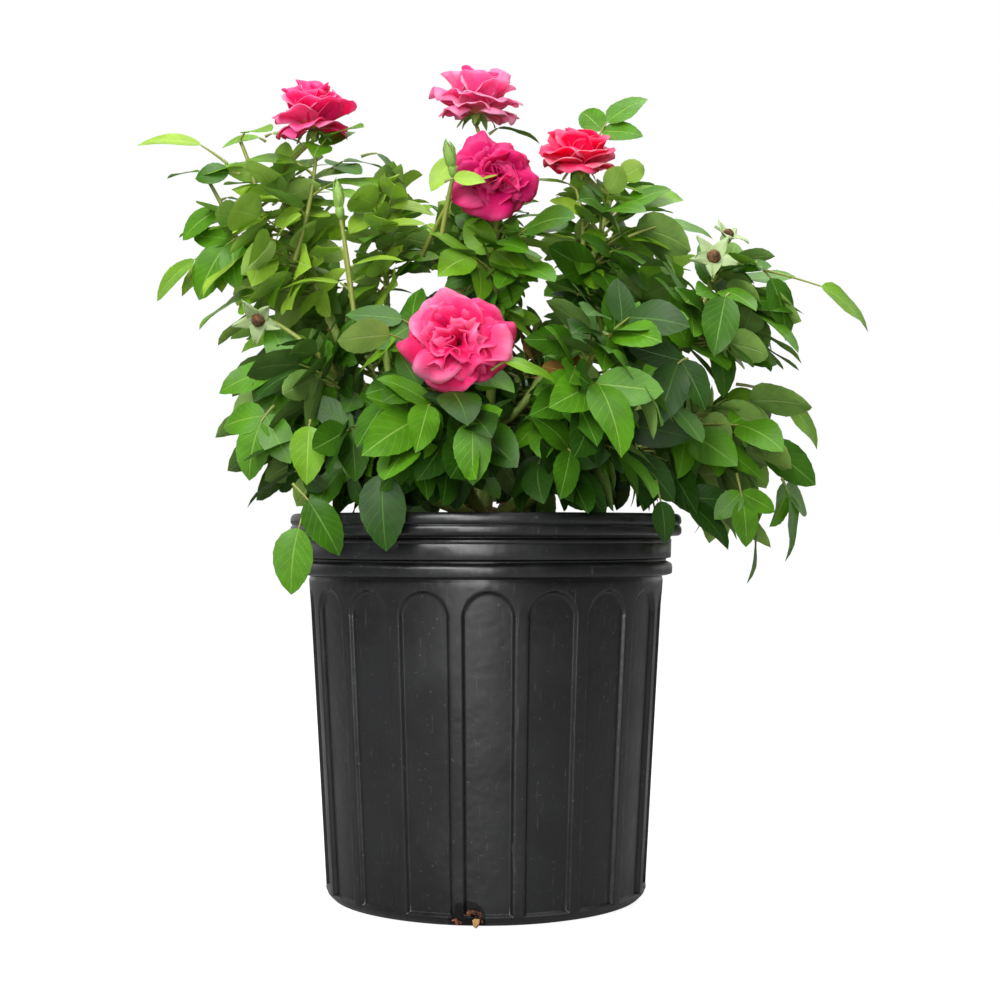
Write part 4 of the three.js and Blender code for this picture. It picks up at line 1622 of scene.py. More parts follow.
    def grow_shoot(self, mass: Mass, shoot: Shoot, number: int) -> None:
        """Grows a shoot with its leaves set alternately round it.

        Args:
            mass: The mass that it belongs to.
            shoot: The shoot.
            number: Its number, which seeds its draws.
        """
        draw = Seed.SHOOT.draws(number)
        foot, tip = np.array(shoot.foot, float), np.array(shoot.tip, float)
        path = Path.through(foot, (foot + tip) / 2 + np.array(shoot.sway, float), tip)
        self.twigs.put(path.point(np.linspace(0, 1, 12)), self.shoot_foot, self.shoot_tip)
        for order in range(shoot.leaves):
            share = shoot.bare + (1 - shoot.bare) * order / max(1, shoot.leaves - 1)
            start = path.point(share)
            turn = math.radians(shoot.first_turn + order * GOLDEN_TURN)
            level = vector(math.cos(turn), self.shoot_depth * math.sin(turn), 0)
            way = unit(level + UP * draw.between(*self.shoot_climb))
            longest, shrink = self.shoot_taper
            end = start + way * shoot.reach * draw.between(*self.shoot_reach) * (longest - shrink * share)
            outward, forward = self.shoot_lean
            light = unit(UP + level * outward - FRONT_TO_BACK * forward)
            length = draw.between(*self.shoot_leaflet)
            leaf = self.leaf_on(Path.arched(start, end, self.arch), 1, length, light, True)
            self.place(mass, leaf, Tint(shoot.tint - int(draw() < self.older_share)), draw)

    def grow(self) -> None:
        """Grows all leaves: marked sprays, shoots and tips, then the sites of each mass in turn."""
        by_name = {mass.name: mass for mass in MASSES}
        for number, spray in enumerate(SPRAYS):
            path = Path.arched(np.array(spray.foot, float), np.array(spray.tip, float), spray.arch)
            leaf = self.leaf_on(path, spray.pairs, spray.length, unit(np.array(spray.light, float)), True)
            self.place(by_name[spray.mass], leaf, Tint(spray.tint), Seed.SPRAY.draws(number))
        for number, shoot in enumerate(SHOOTS):
            self.grow_shoot(by_name[shoot.mass], shoot, number)
        for number, (name, tip) in enumerate(TIPS):
            self.grow_tip(by_name[name], np.array(tip, float), number)
        for site in range(1, self.sites + 1):
            for mass in MASSES:
                self.grow_site(mass, site)


# Gaps that sky shows through: column, row and radius in the picture, in pixels
SKY_GAPS = (
    (430, 281, 14), (541, 298, 14), (597, 368, 9), (368, 378, 11), (622, 377, 8), (650, 440, 8),
    (678, 507, 8), (642, 218, 7), (705, 481, 5), (396, 416, 5), (455, 496, 5), (411, 510, 5),
    (392, 298, 6), (429, 216, 7), (334, 463, 5), (700, 352, 5), (675, 336, 4), (780, 471, 5),
    (300, 232, 5), (265, 205, 6), (560, 470, 4), (505, 505, 4), (232, 340, 6), (300, 495, 6),
)

# Leaves and shoots that give the crown its own outline
# Tint 0 paints the dark shade green on sprays that hang in shadow low on the crown
SPRAYS = (
    Spray("upper_left", (-166, -10, 470), (-221, -12, 496), 4, 0, 42, (0.1, -0.45, 1), 0.14),
    Spray("upper_left", (-156, -22, 461), (-186, -24, 463), 1, 0, 23, (0, -1, 0.4), 0.05),
    Spray("upper_left", (-162, -18, 440), (-199, -22, 426), 2, 0, 31, (0, -0.8, 0.8), 0.15),
    Spray("upper_left", (-166, -16, 410), (-220, -20, 388), 3, 0, 37, (-0.2, -0.6, 1), 0.2),
    Spray("upper_left", (-152, -24, 422), (-192, -30, 380), 2, 1, 40, (-0.3, -1, 0.5), 0.25),
    Spray("upper_left", (-140, -20, 482), (-170, -20, 487), 3, 0, 27, (0, -0.5, 1)),
    Spray("upper_left", (-140, -24, 484), (-112, -24, 487), 3, 0, 27, (0, -0.5, 1)),
    Spray("upper_middle", (-80, -12, 474), (-36, -16, 452), 1, 0, 38, (0.3, -0.3, 1), 0.4),
    Spray("upper_middle", (-104, -14, 462), (-62, -10, 478), 2, 1, 32, (0, -0.4, 1)),
    Spray("top_centre", (2, 4, 492), (38, 2, 499), 1, 0, 32, (0, -0.2, 1), 0.3),
    Spray("upper_right", (66, 0, 474), (98, -6, 518), 2, 1, 34, (-0.3, -1, 0.5), 0.3),
    Spray("right_upper", (90, -28, 420), (147, -34, 430), 2, 0, 33, (0.2, -0.7, 1), 0.12),
    Spray("upper_right", (68, 4, 482), (52, 2, 500), 2, 0, 22, (-0.3, -0.4, 1), 0.3),
    Spray("top_centre", (-24, -96, 441), (2, -100, 446), 4, 0, 21, (0, -1, 0.5), 0.1),
    Spray("top_centre", (-14, -60, 462), (-40, -74, 446), 4, 0, 30, (-0.3, -1, 0.6), 0.3),
    Spray("front", (4, -132, 326), (46, -140, 330), 3, 0, 35, (0, -0.55, 1), 0.3),
    Spray("left", (-58, -122, 282), (-60, -136, 224), 0, 0, 44, (-0.1, -1, 0.1), 0.0),
    Spray("left", (-114, -94, 262), (-82, -108, 222), 1, 0, 37, (0.2, -1, 0.3), 0.1),
    Spray("left", (-106, -92, 250), (-121, -104, 197), 2, 0, 40, (-0.2, -1, 0.2), 0.05),
    Spray("front_right", (102, -88, 264), (110, -96, 226), 0, 0, 26, (0.3, -1, 0.3), 0.05),
    Spray("right_lower", (156, -46, 270), (164, -56, 222), 2, 1, 30, (0.2, -1, 0.3), 0.1),
    Spray("right_lower", (164, -32, 252), (179, -38, 200), 1, 0, 42, (1, -0.2, 0.2), 0.1),
    Spray("right_lower", (190, -10, 268), (207, -14, 210), 2, 1, 44, (1, -0.6, 0.4), 0.2),
    Spray("right_lower", (160, -14, 328), (226, -20, 292), 3, 0, 42, (0.7, -0.8, 0.5), 0.2),
    Spray("right_upper", (150, -20, 406), (258, -14, 374), 3, 0, 46, (0.4, -0.9, 1), 0.06),
    Spray("right_upper", (170, -30, 404), (200, -40, 352), 1, 0, 42, (0.5, -1, 0.5), 0.2),
    Spray("front_right", (120, -96, 336), (96, -128, 298), 0, 1, 40, (0, -1, 0.4), 0.3),
    Spray("front_right", (146, -84, 376), (132, -110, 340), 1, 1, 39, (0, -1, 0.5), 0.3),
    Spray("left", (-128, -72, 310), (-152, -84, 262), 2, 1, 38, (-0.3, -1, 0.3), 0.2),
    Spray("left", (-104, -90, 300), (-106, -112, 262), 3, 1, 37, (0.1, -1, 0.3), 0.2),
    Spray("front", (-6, -140, 300), (-8, -156, 258), 2, 1, 38, (0, -1, 0.3), 0.2),
)
SHOOTS = (
    Shoot("upper_left", (-142, -22, 408), (-156, -24, 482), (8, 0, 4), 3, 20.0, 46.0),
    Shoot("upper_left", (-158, -10, 414), (-180, -12, 462), (6, 0, -4), 3, 250.0, 34.0, 3),
    Shoot("upper_middle", (-80, -60, 366), (-86, -66, 404), (0, 0, 0), 3, 200.0, 52.0),
    Shoot("upper_middle", (-40, -30, 408), (-20, -62, 440), (0, -8, 0), 2, 180.0, 44.0),
    Shoot("upper_left", (-120, -34, 404), (-106, -38, 470), (4, 0, 0), 4, 250.0, 54.0, 3),
    Shoot("upper_right", (62, -8, 410), (58, -14, 452), (4, 0, 0), 3, 300.0, 50.0, 3),
)

# Leaf tips that mark the crown's furthest points
TIPS = (
    ("upper_left", (-216, -8, 394)),
    ("right_upper", (196, 0, 414)),
    ("right_lower", (224, 0, 268)),
    ("back_lower", (-14, 238, 302)),
    ("back_right", (104, 208, 352)),
    ("back_left", (-128, 200, 344)),
    ("front_right", (74, -186, 300)),
)


@dataclass
class LeafletForms:
    """The shapes of a rose leaflet: oval and pointed, toothed, folded along its rib and arched."""

    count: int = 12
    stations: tuple[float, ...] = (0, 0.05, 0.15, 0.3, 0.46, 0.62, 0.77, 0.9, 1)
    columns: tuple[float, ...] = (-1, -0.5, 0, 0.5, 1)
    width: float = 0.61
    root: float = 0.6
    point: float = 0.76
    tooth: float = 0.009
    notch_at: float = 0.25
    thickness: float = 0.011
    waviness: float = 9.0
    arch_shortening: float = 0.35

    def half_width(self, share: Array) -> Array:
        """Gives the half-width, which is round at the root and pointed at the tip.

        Args:
            share: Shares of the length.

        Returns:
            The half-width at each, as a share of the length.
        """
        widest = self.root / (self.root + self.point)
        shape, peak = (at ** self.root * (1 - at) ** self.point for at in (share, widest))
        return self.width / 2 * shape / peak

    def mesh(self, number: int) -> Mesh:
        """Makes one form with a length of one metre.

        Args:
            number: The form's number.

        Returns:
            Its mesh: root at the origin, length along +Y and upper side up.
        """
        draw = Seed.FORM.draws(number)
        fold = draw.between(0.05, 0.3)
        bend = draw.between(0.04, 0.26)
        curl = draw.between(-0.04, 0.14)
        twist = draw.between(-0.4, 0.4)
        wave = draw.between(0.0, 0.03)
        phase = draw.between(0, FULL_TURN)
        sway = draw.between(-0.05, 0.05)
        broad = draw.between(0.82, 1.1)
        flat: list[tuple[float, float]] = []
        index: dict[tuple[int, int], int] = {}
        last = len(self.stations) - 1
        for row, share in enumerate(self.stations):
            half = float(self.half_width(np.array(share))) * broad
            for column, across in enumerate(self.columns):
                if row in (0, last) and column:
                    index[row, column] = index[row, 0]
                    continue
                index[row, column] = len(flat)
                flat.append((across * half if 0 < row < last else 0.0, share))
        notches: dict[tuple[int, int], int] = {}
        for row in range(1, last - 1):
            low, high = self.stations[row], self.stations[row + 1]
            share = low + self.notch_at * (high - low)
            half = float(self.half_width(np.array(share))) * broad - self.tooth
            for hand in (-1, 1):
                notches[row, hand] = len(flat)
                flat.append((hand * half, share))
        tops = len(flat)
        inner = [(row, column) for row in range(1, last) for column in range(1, len(self.columns) - 1)]
        under = {key: tops + order for order, key in enumerate(inner)}
        flat += [flat[index[key]] for key in under]
        across, along = np.array(flat).T
        half = np.maximum(self.half_width(along) * broad, 1e-6)
        share_across = np.clip(across / half, -1, 1)
        height = fold * np.abs(across) - bend * along ** 2 - curl * along ** 4
        height += wave * share_across ** 2 * np.sin(phase + self.waviness * along)
        lean = twist * along
        x = across * np.cos(lean) + sway * along ** 2
        z = height + across * np.sin(lean)
        z[tops:] -= self.thickness
        points = np.stack([x, along * (1 - self.arch_shortening * bend), z], axis=1)
        faces: Faces = []
        for row in range(last):
            for column in range(len(self.columns) - 1):
                keys = (row, column), (row, column + 1), (row + 1, column + 1), (row + 1, column)
                notch = notches.get((row, -1 if column == 0 else 1))
                on_edge = column in (0, len(self.columns) - 2)
                for side in (0, 1):
                    corners = [under.get(key, index[key]) if side else index[key] for key in keys]
                    cell = [tuple(dict.fromkeys(corners))]
                    if notch is not None and on_edge:
                        cell = self.with_notch(corners, column, notch)
                    for face in cell:
                        if len(face) > 2:
                            faces.append(face if side == 0 else face[:1] + face[:0:-1])
        uvs = np.stack([share_across / 2 + 0.5, along], axis=1)
        mesh = new_mesh(f"leaflet_{number:02d}", points * METRE, faces, uvs)
        layer = mesh.attributes.new("lower_side", "BOOLEAN", "FACE")
        lower = [any(corner >= tops for corner in face) for face in faces]
        layer.data.foreach_set("value", lower)
        sides: dict[tuple[int, int], set[bool]] = {}
        for face, is_lower in zip(faces, lower):
            for start, end in zip(face, face[1:] + face[:1]):
                sides.setdefault((min(start, end), max(start, end)), set()).add(is_lower)
        sharp = mesh.attributes.new("sharp_edge", "BOOLEAN", "EDGE")
        ends = [tuple(sorted(edge.vertices)) for edge in mesh.edges]
        sharp.data.foreach_set("value", [len(sides[pair]) == 2 for pair in ends])
        return mesh

    def with_notch(self, corners: list[int], column: int, notch: int) -> Faces:
        """Splits a cell at the leaflet's edge into three triangles that meet at its notch.

        Args:
            corners: The cell's corners in order.
            column: The cell's column.
            notch: The notch's vertex.

        Returns:
            The triangles.
        """
        a, b, c, d = corners
        if column == 0:
            return [(b, c, notch), (a, b, notch), (c, d, notch)]
        return [(a, notch, d), (a, b, notch), (d, notch, c)]

    def meshes(self) -> list[Mesh]:
        """Makes all the forms."""
        return [self.mesh(number) for number in range(self.count)]


class Part(Enum):
    """The parts of the crown whose leaves are joined into one piece each."""

    UPPER_LEFT = ("upper_left", "upper_middle")
    LEFT = ("left", "back_left")
    RIGHT = ("right_upper", "right_lower")
    MIDDLE = ("top_centre", "upper_right", "centre")
    BACK = ("back_upper", "back_lower", "back_right")
    FRONT = ("front", "front_right")


# Blossom

@dataclass(frozen=True)
class Whorl:
    """A ring of petals or sepals. Lengths and widths are shares of the bloom's radius."""

    count: int
    length: float
    width: float
    foot_tilt: float
    tip_tilt: float
    roll: float = 0.1
    ripple: float = 0.09
    cup: float = 0.8
    loose: float = 12.0
    tones: tuple[int, ...] = (0, 1)
    shift: float = 0.0
    sepal: bool = False


# Tones: 0 full, 1 deep, 2 pale
ROSETTE = (
    Whorl(7, 1.16, 0.5, 34, 106, 0.12, 0.16, 1.1, 22, (2, 0, 0)),
    Whorl(7, 1.08, 0.5, 26, 86, 0.15, 0.18, 0.8, 24, (0, 2, 0), 0.4),
    Whorl(7, 0.98, 0.47, 18, 66, 0.16, 0.18, 0.6, 24, (0, 0, 1), 0.1),
    Whorl(7, 0.88, 0.44, 12, 48, 0.15, 0.18, 0.46, 24, (0, 1, 2), 0.6),
    Whorl(7, 0.78, 0.4, 6, 32, 0.13, 0.16, 0.34, 20, (0, 1, 2), 0.3),
    Whorl(6, 0.68, 0.34, 2, 18, 0.1, 0.14, 0.26, 16, (1, 0, 1), 0.6),
)
CUP = (
    Whorl(6, 1.06, 0.6, 62, 108, 0.14, 0.1, 0.95, 18, (2, 0, 0)),
    Whorl(6, 1.2, 0.7, 54, 48, 0.2, 0.12, 0.8, 16, (0, 2, 0), 0.3),
    Whorl(6, 1.26, 0.68, 46, 18, 0.16, 0.12, 0.66, 12, (0, 2, 0), 0.6),
    Whorl(6, 1.26, 0.62, 34, 0, 0.14, 0.12, 0.52, 12, (0, 1, 0), 0.1),
    Whorl(5, 1.2, 0.52, 18, -8, 0.12, 0.12, 0.36, 10, (1, 0, 1), 0.4),
    Whorl(4, 1.12, 0.4, 6, -10, 0.08, 0.1, 0.24, 8, (1, 1, 0), 0.2),
)
BOWL = (
    Whorl(6, 1.1, 0.66, 68, 98, 0.16, 0.08, 0.95, 12, (0, 2, 0)),
    Whorl(6, 1.2, 0.72, 54, 34, 0.22, 0.1, 0.8, 12, (0, 2, 2), 0.3),
    Whorl(6, 1.2, 0.66, 42, 8, 0.2, 0.1, 0.66, 12, (0, 1, 0), 0.6),
    Whorl(6, 1.12, 0.56, 28, -4, 0.16, 0.1, 0.46, 10, (0, 1, 0), 0.1),
    Whorl(5, 1.0, 0.42, 12, -6, 0.12, 0.1, 0.32, 8, (1, 0, 1), 0.4),
)
CALYX = (Whorl(5, 0.62, 0.13, 95, 165, 0.0, 0.02, 0.6, sepal=True),)


@dataclass
class Bloom:
    """A double rose: whorls of petals on a calyx with hanging sepals and a small green hip."""

    name: str
    mass: str
    at: Triple
    width: float
    facing: Triple
    whorls: tuple[Whorl, ...]
    seed: int
    tones: tuple[Petal, ...]
    wide: float = 1.0
    drop: float = 0.3
    thickness: float = 0.35
    rows: int = 12
    columns: int = 12
    steps: int = 32

    @property
    def way(self) -> Array:
        """The way that the bloom faces."""
        return unit(np.array(self.facing, float))

    @property
    def foot(self) -> Array:
        """The point where the petals spring from."""
        return np.array(self.at, float) - self.way * self.drop * self.width

    def petal(self, whorl: Whorl, turn: float, draw: Draws) -> Array:
        """Shapes one petal or sepal.

        Args:
            whorl: The ring that it belongs to.
            turn: Its turn about the bloom's axis, in radians.
            draw: The draws for its own bends.

        Returns:
            Its points by row from the foot and by column across.
        """
        radius = self.width / 2
        length = whorl.length * radius * draw.between(0.86, 1.1)
        half = whorl.width * radius * draw.between(0.86, 1.14)
        foot_tilt = math.radians(whorl.foot_tilt + draw.between(-5, 5))
        tip_tilt = math.radians(whorl.tip_tilt + draw.between(-1, 1) * whorl.loose)
        u, v = np.meshgrid(np.linspace(-1, 1, self.columns), np.linspace(0, 1, self.rows))
        notch = draw.between(0, 0.07) * np.exp(-((u - draw.between(-0.3, 0.3)) / 0.3) ** 2)
        reach = v * (1 - 0.24 * np.abs(u) ** 2.6 * v - notch * v ** 3)
        tilt = foot_tilt + (tip_tilt - foot_tilt) * reach
        steps = np.linspace(0, 1, self.steps + 1)
        tilts = foot_tilt + (tip_tilt - foot_tilt) * steps
        between = (tilts[1:] + tilts[:-1]) / 2
        out_sum = np.concatenate([[0], np.cumsum(np.sin(between)) / self.steps])
        up_sum = np.concatenate([[0], np.cumsum(np.cos(between)) / self.steps])
        outwards = length * np.interp(reach, steps, out_sum) + 0.04 * radius
        upwards = length * np.interp(reach, steps, up_sum)
        taper = 0.22 + 0.78 * smooth_step(-0.1, 0.7, v)
        if whorl.sepal:
            taper = np.sqrt(np.clip(1 - v, 0.02, 1)) * (0.6 + 0.4 * smooth_step(0, 0.3, v))
        sideways = u * half * taper
        bend = max(whorl.cup, 0.15) * radius
        round_about = sideways / bend
        outwards = outwards - bend * (1 - np.cos(round_about)) * (1 - 0.5 * v)
        sideways = bend * np.sin(round_about)
        edge = np.clip(np.maximum(np.abs(u) ** 4 * v, v ** 5), 0, 1)
        slow = np.sin(draw.between(1.4, 3.0) * u * math.pi / 2 + draw.between(0, 6.3))
        quick = np.sin(draw.between(3.4, 6.0) * u * math.pi / 2 + draw.between(0, 6.3))
        crease = np.sin(draw.between(2, 5) * v + draw.between(0, 6.3))
        ripple = whorl.ripple * radius * (slow * v ** 2 + 0.5 * quick * v ** 4 + 0.4 * crease * v)
        push = whorl.roll * radius * edge * draw.between(0.2, 1.6) + ripple
        outwards = outwards + push * np.cos(tilt)
        upwards = upwards - push * np.sin(tilt)
        twist = draw.between(-0.34, 0.34) * (0 if whorl.sepal else 1) * v
        outwards = outwards - sideways * np.sin(twist) * np.cos(tilt)
        sideways = sideways * np.cos(twist)
        upwards = upwards + u * half * np.sin(twist) * np.sin(tilt) * 0.6
        across, over = frame_of(self.way)
        out_way = across * math.cos(turn) + over * math.sin(turn)
        side_way = -across * math.sin(turn) + over * math.cos(turn)
        offset = outwards[..., None] * out_way + sideways[..., None] * side_way
        return self.foot + (offset + upwards[..., None] * self.way) * (self.wide, 1, 1)

    def add_to(self, petals: GridJoin, greens: GridJoin) -> None:
        """Adds the petals, and the calyx with its hip.

        Args:
            petals: The join that takes the petals.
            greens: The join that takes the sepals and the hip.
        """
        draw = Draws(self.seed)
        for whorl in self.whorls:
            for number in range(whorl.count):
                turn = FULL_TURN * (number + whorl.shift + draw.between(-0.2, 0.2)) / whorl.count
                tone = whorl.tones[int(draw() * len(whorl.tones))]
                petals.sheet(self.petal(whorl, turn, draw), self.thickness, 2 * tone, 2 * tone + 1)
        for whorl in CALYX:
            for number in range(whorl.count):
                turn = FULL_TURN * (number + draw.between(-0.1, 0.1)) / whorl.count
                greens.sheet(self.petal(whorl, turn, draw), self.thickness, 0, 0)
        hip = np.array([(0, -7.5), (1.5, -7.2), (2.9, -5), (3.3, -2.5), (2.6, -0.4), (3.6, 0.6), (0, 1.4)])
        greens.turned(hip, self.foot, self.way, 10, 0)


def palette(family: str, *looks: tuple[str | float, ...]) -> tuple[Petal, ...]:
    """Makes the petals of a family, inside and outside, for its full, deep and pale tones.

    Args:
        family: The family's name.
        looks: For each petal its heart, its blade, its edge, and where they end, as in Petal.

    Returns:
        The petals.
    """
    tones = [f"{tone}_{side}" for tone in ("full", "deep", "pale") for side in ("inside", "outside")]
    return tuple(Petal(f"{family}_petal_{tone}", *look) for tone, look in zip(tones, looks))


# Velvety petals: each family glows from a warm heart to its own pink, paler along the rolled edge
PINK = palette(
    "rose",
    ("#FF8A50", "#F00862", "#FF5CA0"),
    ("#FFB070", "#FA2A7C", "#FF84BA", 0.5, 0.8),
    ("#F86A3C", "#DA0058", "#F23E8E", 0.3, 0.9),
    ("#FF9A5C", "#EC1068", "#FF62A6", 0.42, 0.84),
    ("#FFB070", "#FA3484", "#FF96C6", 0.42, 0.8),
    ("#FFC088", "#FF5CA0", "#FFAAD2", 0.52, 0.72),
)
MAGENTA = palette(
    "magenta",
    ("#FFA050", "#DC006A", "#F02C8C", 0.42, 0.84),
    ("#FFB464", "#EC1C7E", "#FA5CA4", 0.5, 0.8),
    ("#F88044", "#C40058", "#E01474", 0.3, 0.88),
    ("#FF9A5C", "#DC0A68", "#F03C8E", 0.4, 0.84),
    ("#FFC070", "#F03C8C", "#F01C7C", 0.5, 0.86),
    ("#FFCC84", "#F858A0", "#F42C88", 0.55, 0.86),
)
ROSE = palette(
    "rosy",
    ("#FF9458", "#FA2C8C", "#FF84BC", 0.4, 0.82),
    ("#FFB478", "#FF5CA8", "#FFA0CE", 0.5, 0.8),
    ("#F8703C", "#F01C7C", "#FA5CA4", 0.3, 0.88),
    ("#FF9A5C", "#F83C92", "#FF80BA", 0.42, 0.84),
    ("#FFB878", "#FF64A8", "#FFAAD2", 0.45, 0.8),
    ("#FFC890", "#FF86BE", "#FFBCDC", 0.55, 0.76),
)
PALE = palette(
    "blush",
    ("#FFB870", "#FF5CA6", "#FFAAD2", 0.42, 0.76),
    ("#FFC880", "#FF86C0", "#FFBEDE", 0.58, 0.7),
    ("#FF8A50", "#F42888", "#FF7AB6", 0.3, 0.86),
    ("#FFAE68", "#FF5CA8", "#FF9ACA", 0.42, 0.8),
    ("#FFC080", "#FF84BA", "#FFC0DE", 0.45, 0.72),
    ("#FFD090", "#FF9CCA", "#FFCCE4", 0.62, 0.66),
)
CORAL = palette(
    "coral",
    ("#FF8048", "#FF1466", "#FF74A2", 0.35, 0.86),
    ("#FFA068", "#FF3A7C", "#FF94B8", 0.42, 0.8),
    ("#F86038", "#F4085A", "#FF4480", 0.3, 0.9),
    ("#FF8A58", "#FF246A", "#FF749E", 0.4, 0.84),
    ("#FFA868", "#FF5088", "#FFACC4", 0.42, 0.76),
    ("#FFB47C", "#FF749C", "#FFC2D2", 0.5, 0.7),
)
# Petals in bud: still green below, with pink only at the tip
BUD_PETAL = Petal("rose_petal_in_bud", "#A9C472", "#C4B88E", "#E4709A", 0.7, 0.92, 0.15)

BLOOMS = (
    Bloom("upper_left", "upper_left", (-108, -40, 499), 47, (-0.05, -0.12, 0.99), CUP, 11, ROSE, 1.0),
    Bloom("top", "top_centre", (-5, 0, 518), 46, (0.08, -0.1, 0.98), CUP, 23, PALE, 1.12),
    Bloom("middle", "top_centre", (8, -62, 452), 52, (0.34, -0.92, 0.12), ROSETTE, 37, MAGENTA, 1.1),
    Bloom("upper_right", "upper_right", (61, -10, 480), 43, (0.05, -0.2, 0.97), BOWL, 53, CORAL, 1.06),
    Bloom("front", "front", (-16, -134, 345), 58, (-0.12, -0.95, 0.28), ROSETTE, 71, PINK, 1.2),
)


@dataclass
class Closed:
    """A closed bud in its sepals, or a spent bloom with its brown stamens."""

    mass: str
    at: Triple
    length: float
    spent: bool = False
    lean: Triple = (0, 0, 1)
    stalk_from: Triple | None = None

    @property
    def way(self) -> Array:
        """The way that it faces."""
        return unit(np.array(self.lean, float))

    @property
    def width(self) -> float:
        """Its width, with its sepals spread."""
        return 1.5 * self.length

    def add_to(self, petals: GridJoin, greens: GridJoin, browns: GridJoin, draw: Draws) -> None:
        """Adds the bud's or the spent bloom's bodies.

        Args:
            petals: The join that takes closed petals.
            greens: The join that takes the sepals and the hip.
            browns: The join that takes withered stamens.
            draw: The draws for its sepals.
        """
        way = self.way
        foot = np.array(self.at, float) - way * self.length / 2
        girth = self.length * (0.27 if self.spent else 0.18)
        head = Bloom("bud", self.mass, self.at, self.length * 2, self.lean, (), 0, PINK, drop=0.25)
        if self.spent:
            knob = [(0, 0), (0.7, 0.02), (0.9, 0.3), (0.7, 0.62), (0.3, 0.75), (0, 0.78)]
            sepals = Whorl(5, 0.95, 0.34, 52, 92, 0.0, 0.05, 0.6, 14, sepal=True)
            browns.turned(np.array(knob) * (girth, self.length * 0.5), foot, way, 9, 0)
        else:
            knob = [(0, 0.1), (0.8, 0.2), (1.0, 0.42), (0.75, 0.66), (0.3, 0.88), (0, 0.97)]
            sepals = Whorl(5, 1.08, 0.24, 36, -36, 0.0, 0.005, 0.24, 2, sepal=True)
            petals.turned(np.array(knob) * (girth, self.length), foot, way, 10, 0)
        for number in range(sepals.count):
            turn = FULL_TURN * (number + draw.between(-0.1, 0.1)) / sepals.count
            greens.sheet(head.petal(sepals, turn, draw), 0.35, int(self.spent), int(self.spent))
        hip = [(0, -0.34), (0.5, -0.32), (0.85, -0.16), (0.9, -0.02), (0.7, 0.1), (0, 0.14)]
        greens.turned(np.array(hip) * (girth, self.length), foot, way, 10, int(self.spent))


CLOSED = (
    Closed("upper_middle", (-89, -72, 438), 18, lean=(-0.08, -0.1, 1), stalk_from=(-80, -64, 366)),
    Closed("top_centre", (-21, -92, 458), 17, lean=(-0.2, -0.2, 1), stalk_from=(-26, -74, 414)),
    Closed("right_upper", (149, -62, 356), 14, lean=(0.2, -0.3, 1)),
)
SPENT = (
    Closed("right_upper", (142, -56, 406), 19, True, (0.1, -0.9, 0.3)),
    Closed("right_upper", (154, -40, 424), 15, True, (0.4, -0.5, 0.8)),
    Closed("left", (-140, -66, 360), 18, True, (-0.1, -0.8, -0.5)),
)


@dataclass
class Blossoms:
    """All blooms, buds and spent blooms, and the stalks that carry them."""

    skeleton: Frame
    stalk_foot: float = 1.7
    stalk_tip: float = 1.3
    arch: float = 0.1
    under_bloom: float = 6.0
    under_bud: float = 0.7

    def stalk(self, twigs: Runs, mass: str, end: Array, start: Array | None = None) -> None:
        """Runs a stalk to a flower.

        Args:
            twigs: The runs that take it.
            mass: The mass that it belongs to.
            end: Its tip.
            start: Its foot, or else the nearest part of the mass's leader.
        """
        if start is None:
            points = self.skeleton.leaders[mass].point(np.linspace(0, 1, 11))
            start = points[np.linalg.norm(points - end, axis=1).argmin()]
        line = Path.arched(start, end, self.arch).point(np.linspace(0, 1, 9))
        twigs.put(line, self.stalk_foot, self.stalk_tip)

    def build(self, twigs: Runs) -> None:
        """Builds the petals of each bloom, and the calyces, closed buds and brown hearts.

        Args:
            twigs: The runs that take the stalks.
        """
        greens, buds, browns = GridJoin(), GridJoin(), GridJoin()
        for bloom in BLOOMS:
            petals = GridJoin()
            bloom.add_to(petals, greens)
            self.stalk(twigs, bloom.mass, bloom.foot - bloom.way * self.under_bloom)
            settle(petals.piece("petals_" + bloom.name, bloom.tones))
        for number, head in enumerate(CLOSED + SPENT):
            head.add_to(buds, greens, browns, Seed.CLOSED.draws(number))
            start = np.array(head.stalk_from, float) if head.stalk_from else None
            end = np.array(head.at, float) - head.way * head.length * self.under_bud
            self.stalk(twigs, head.mass, end, start)
        settle(greens.piece("calyces", [CALYX_GREEN, SPENT_SEPAL]))
        settle(buds.piece("closed_petals", [BUD_PETAL]))
        settle(browns.piece("withered_stamens", [SPENT_BROWN]))


# Stems

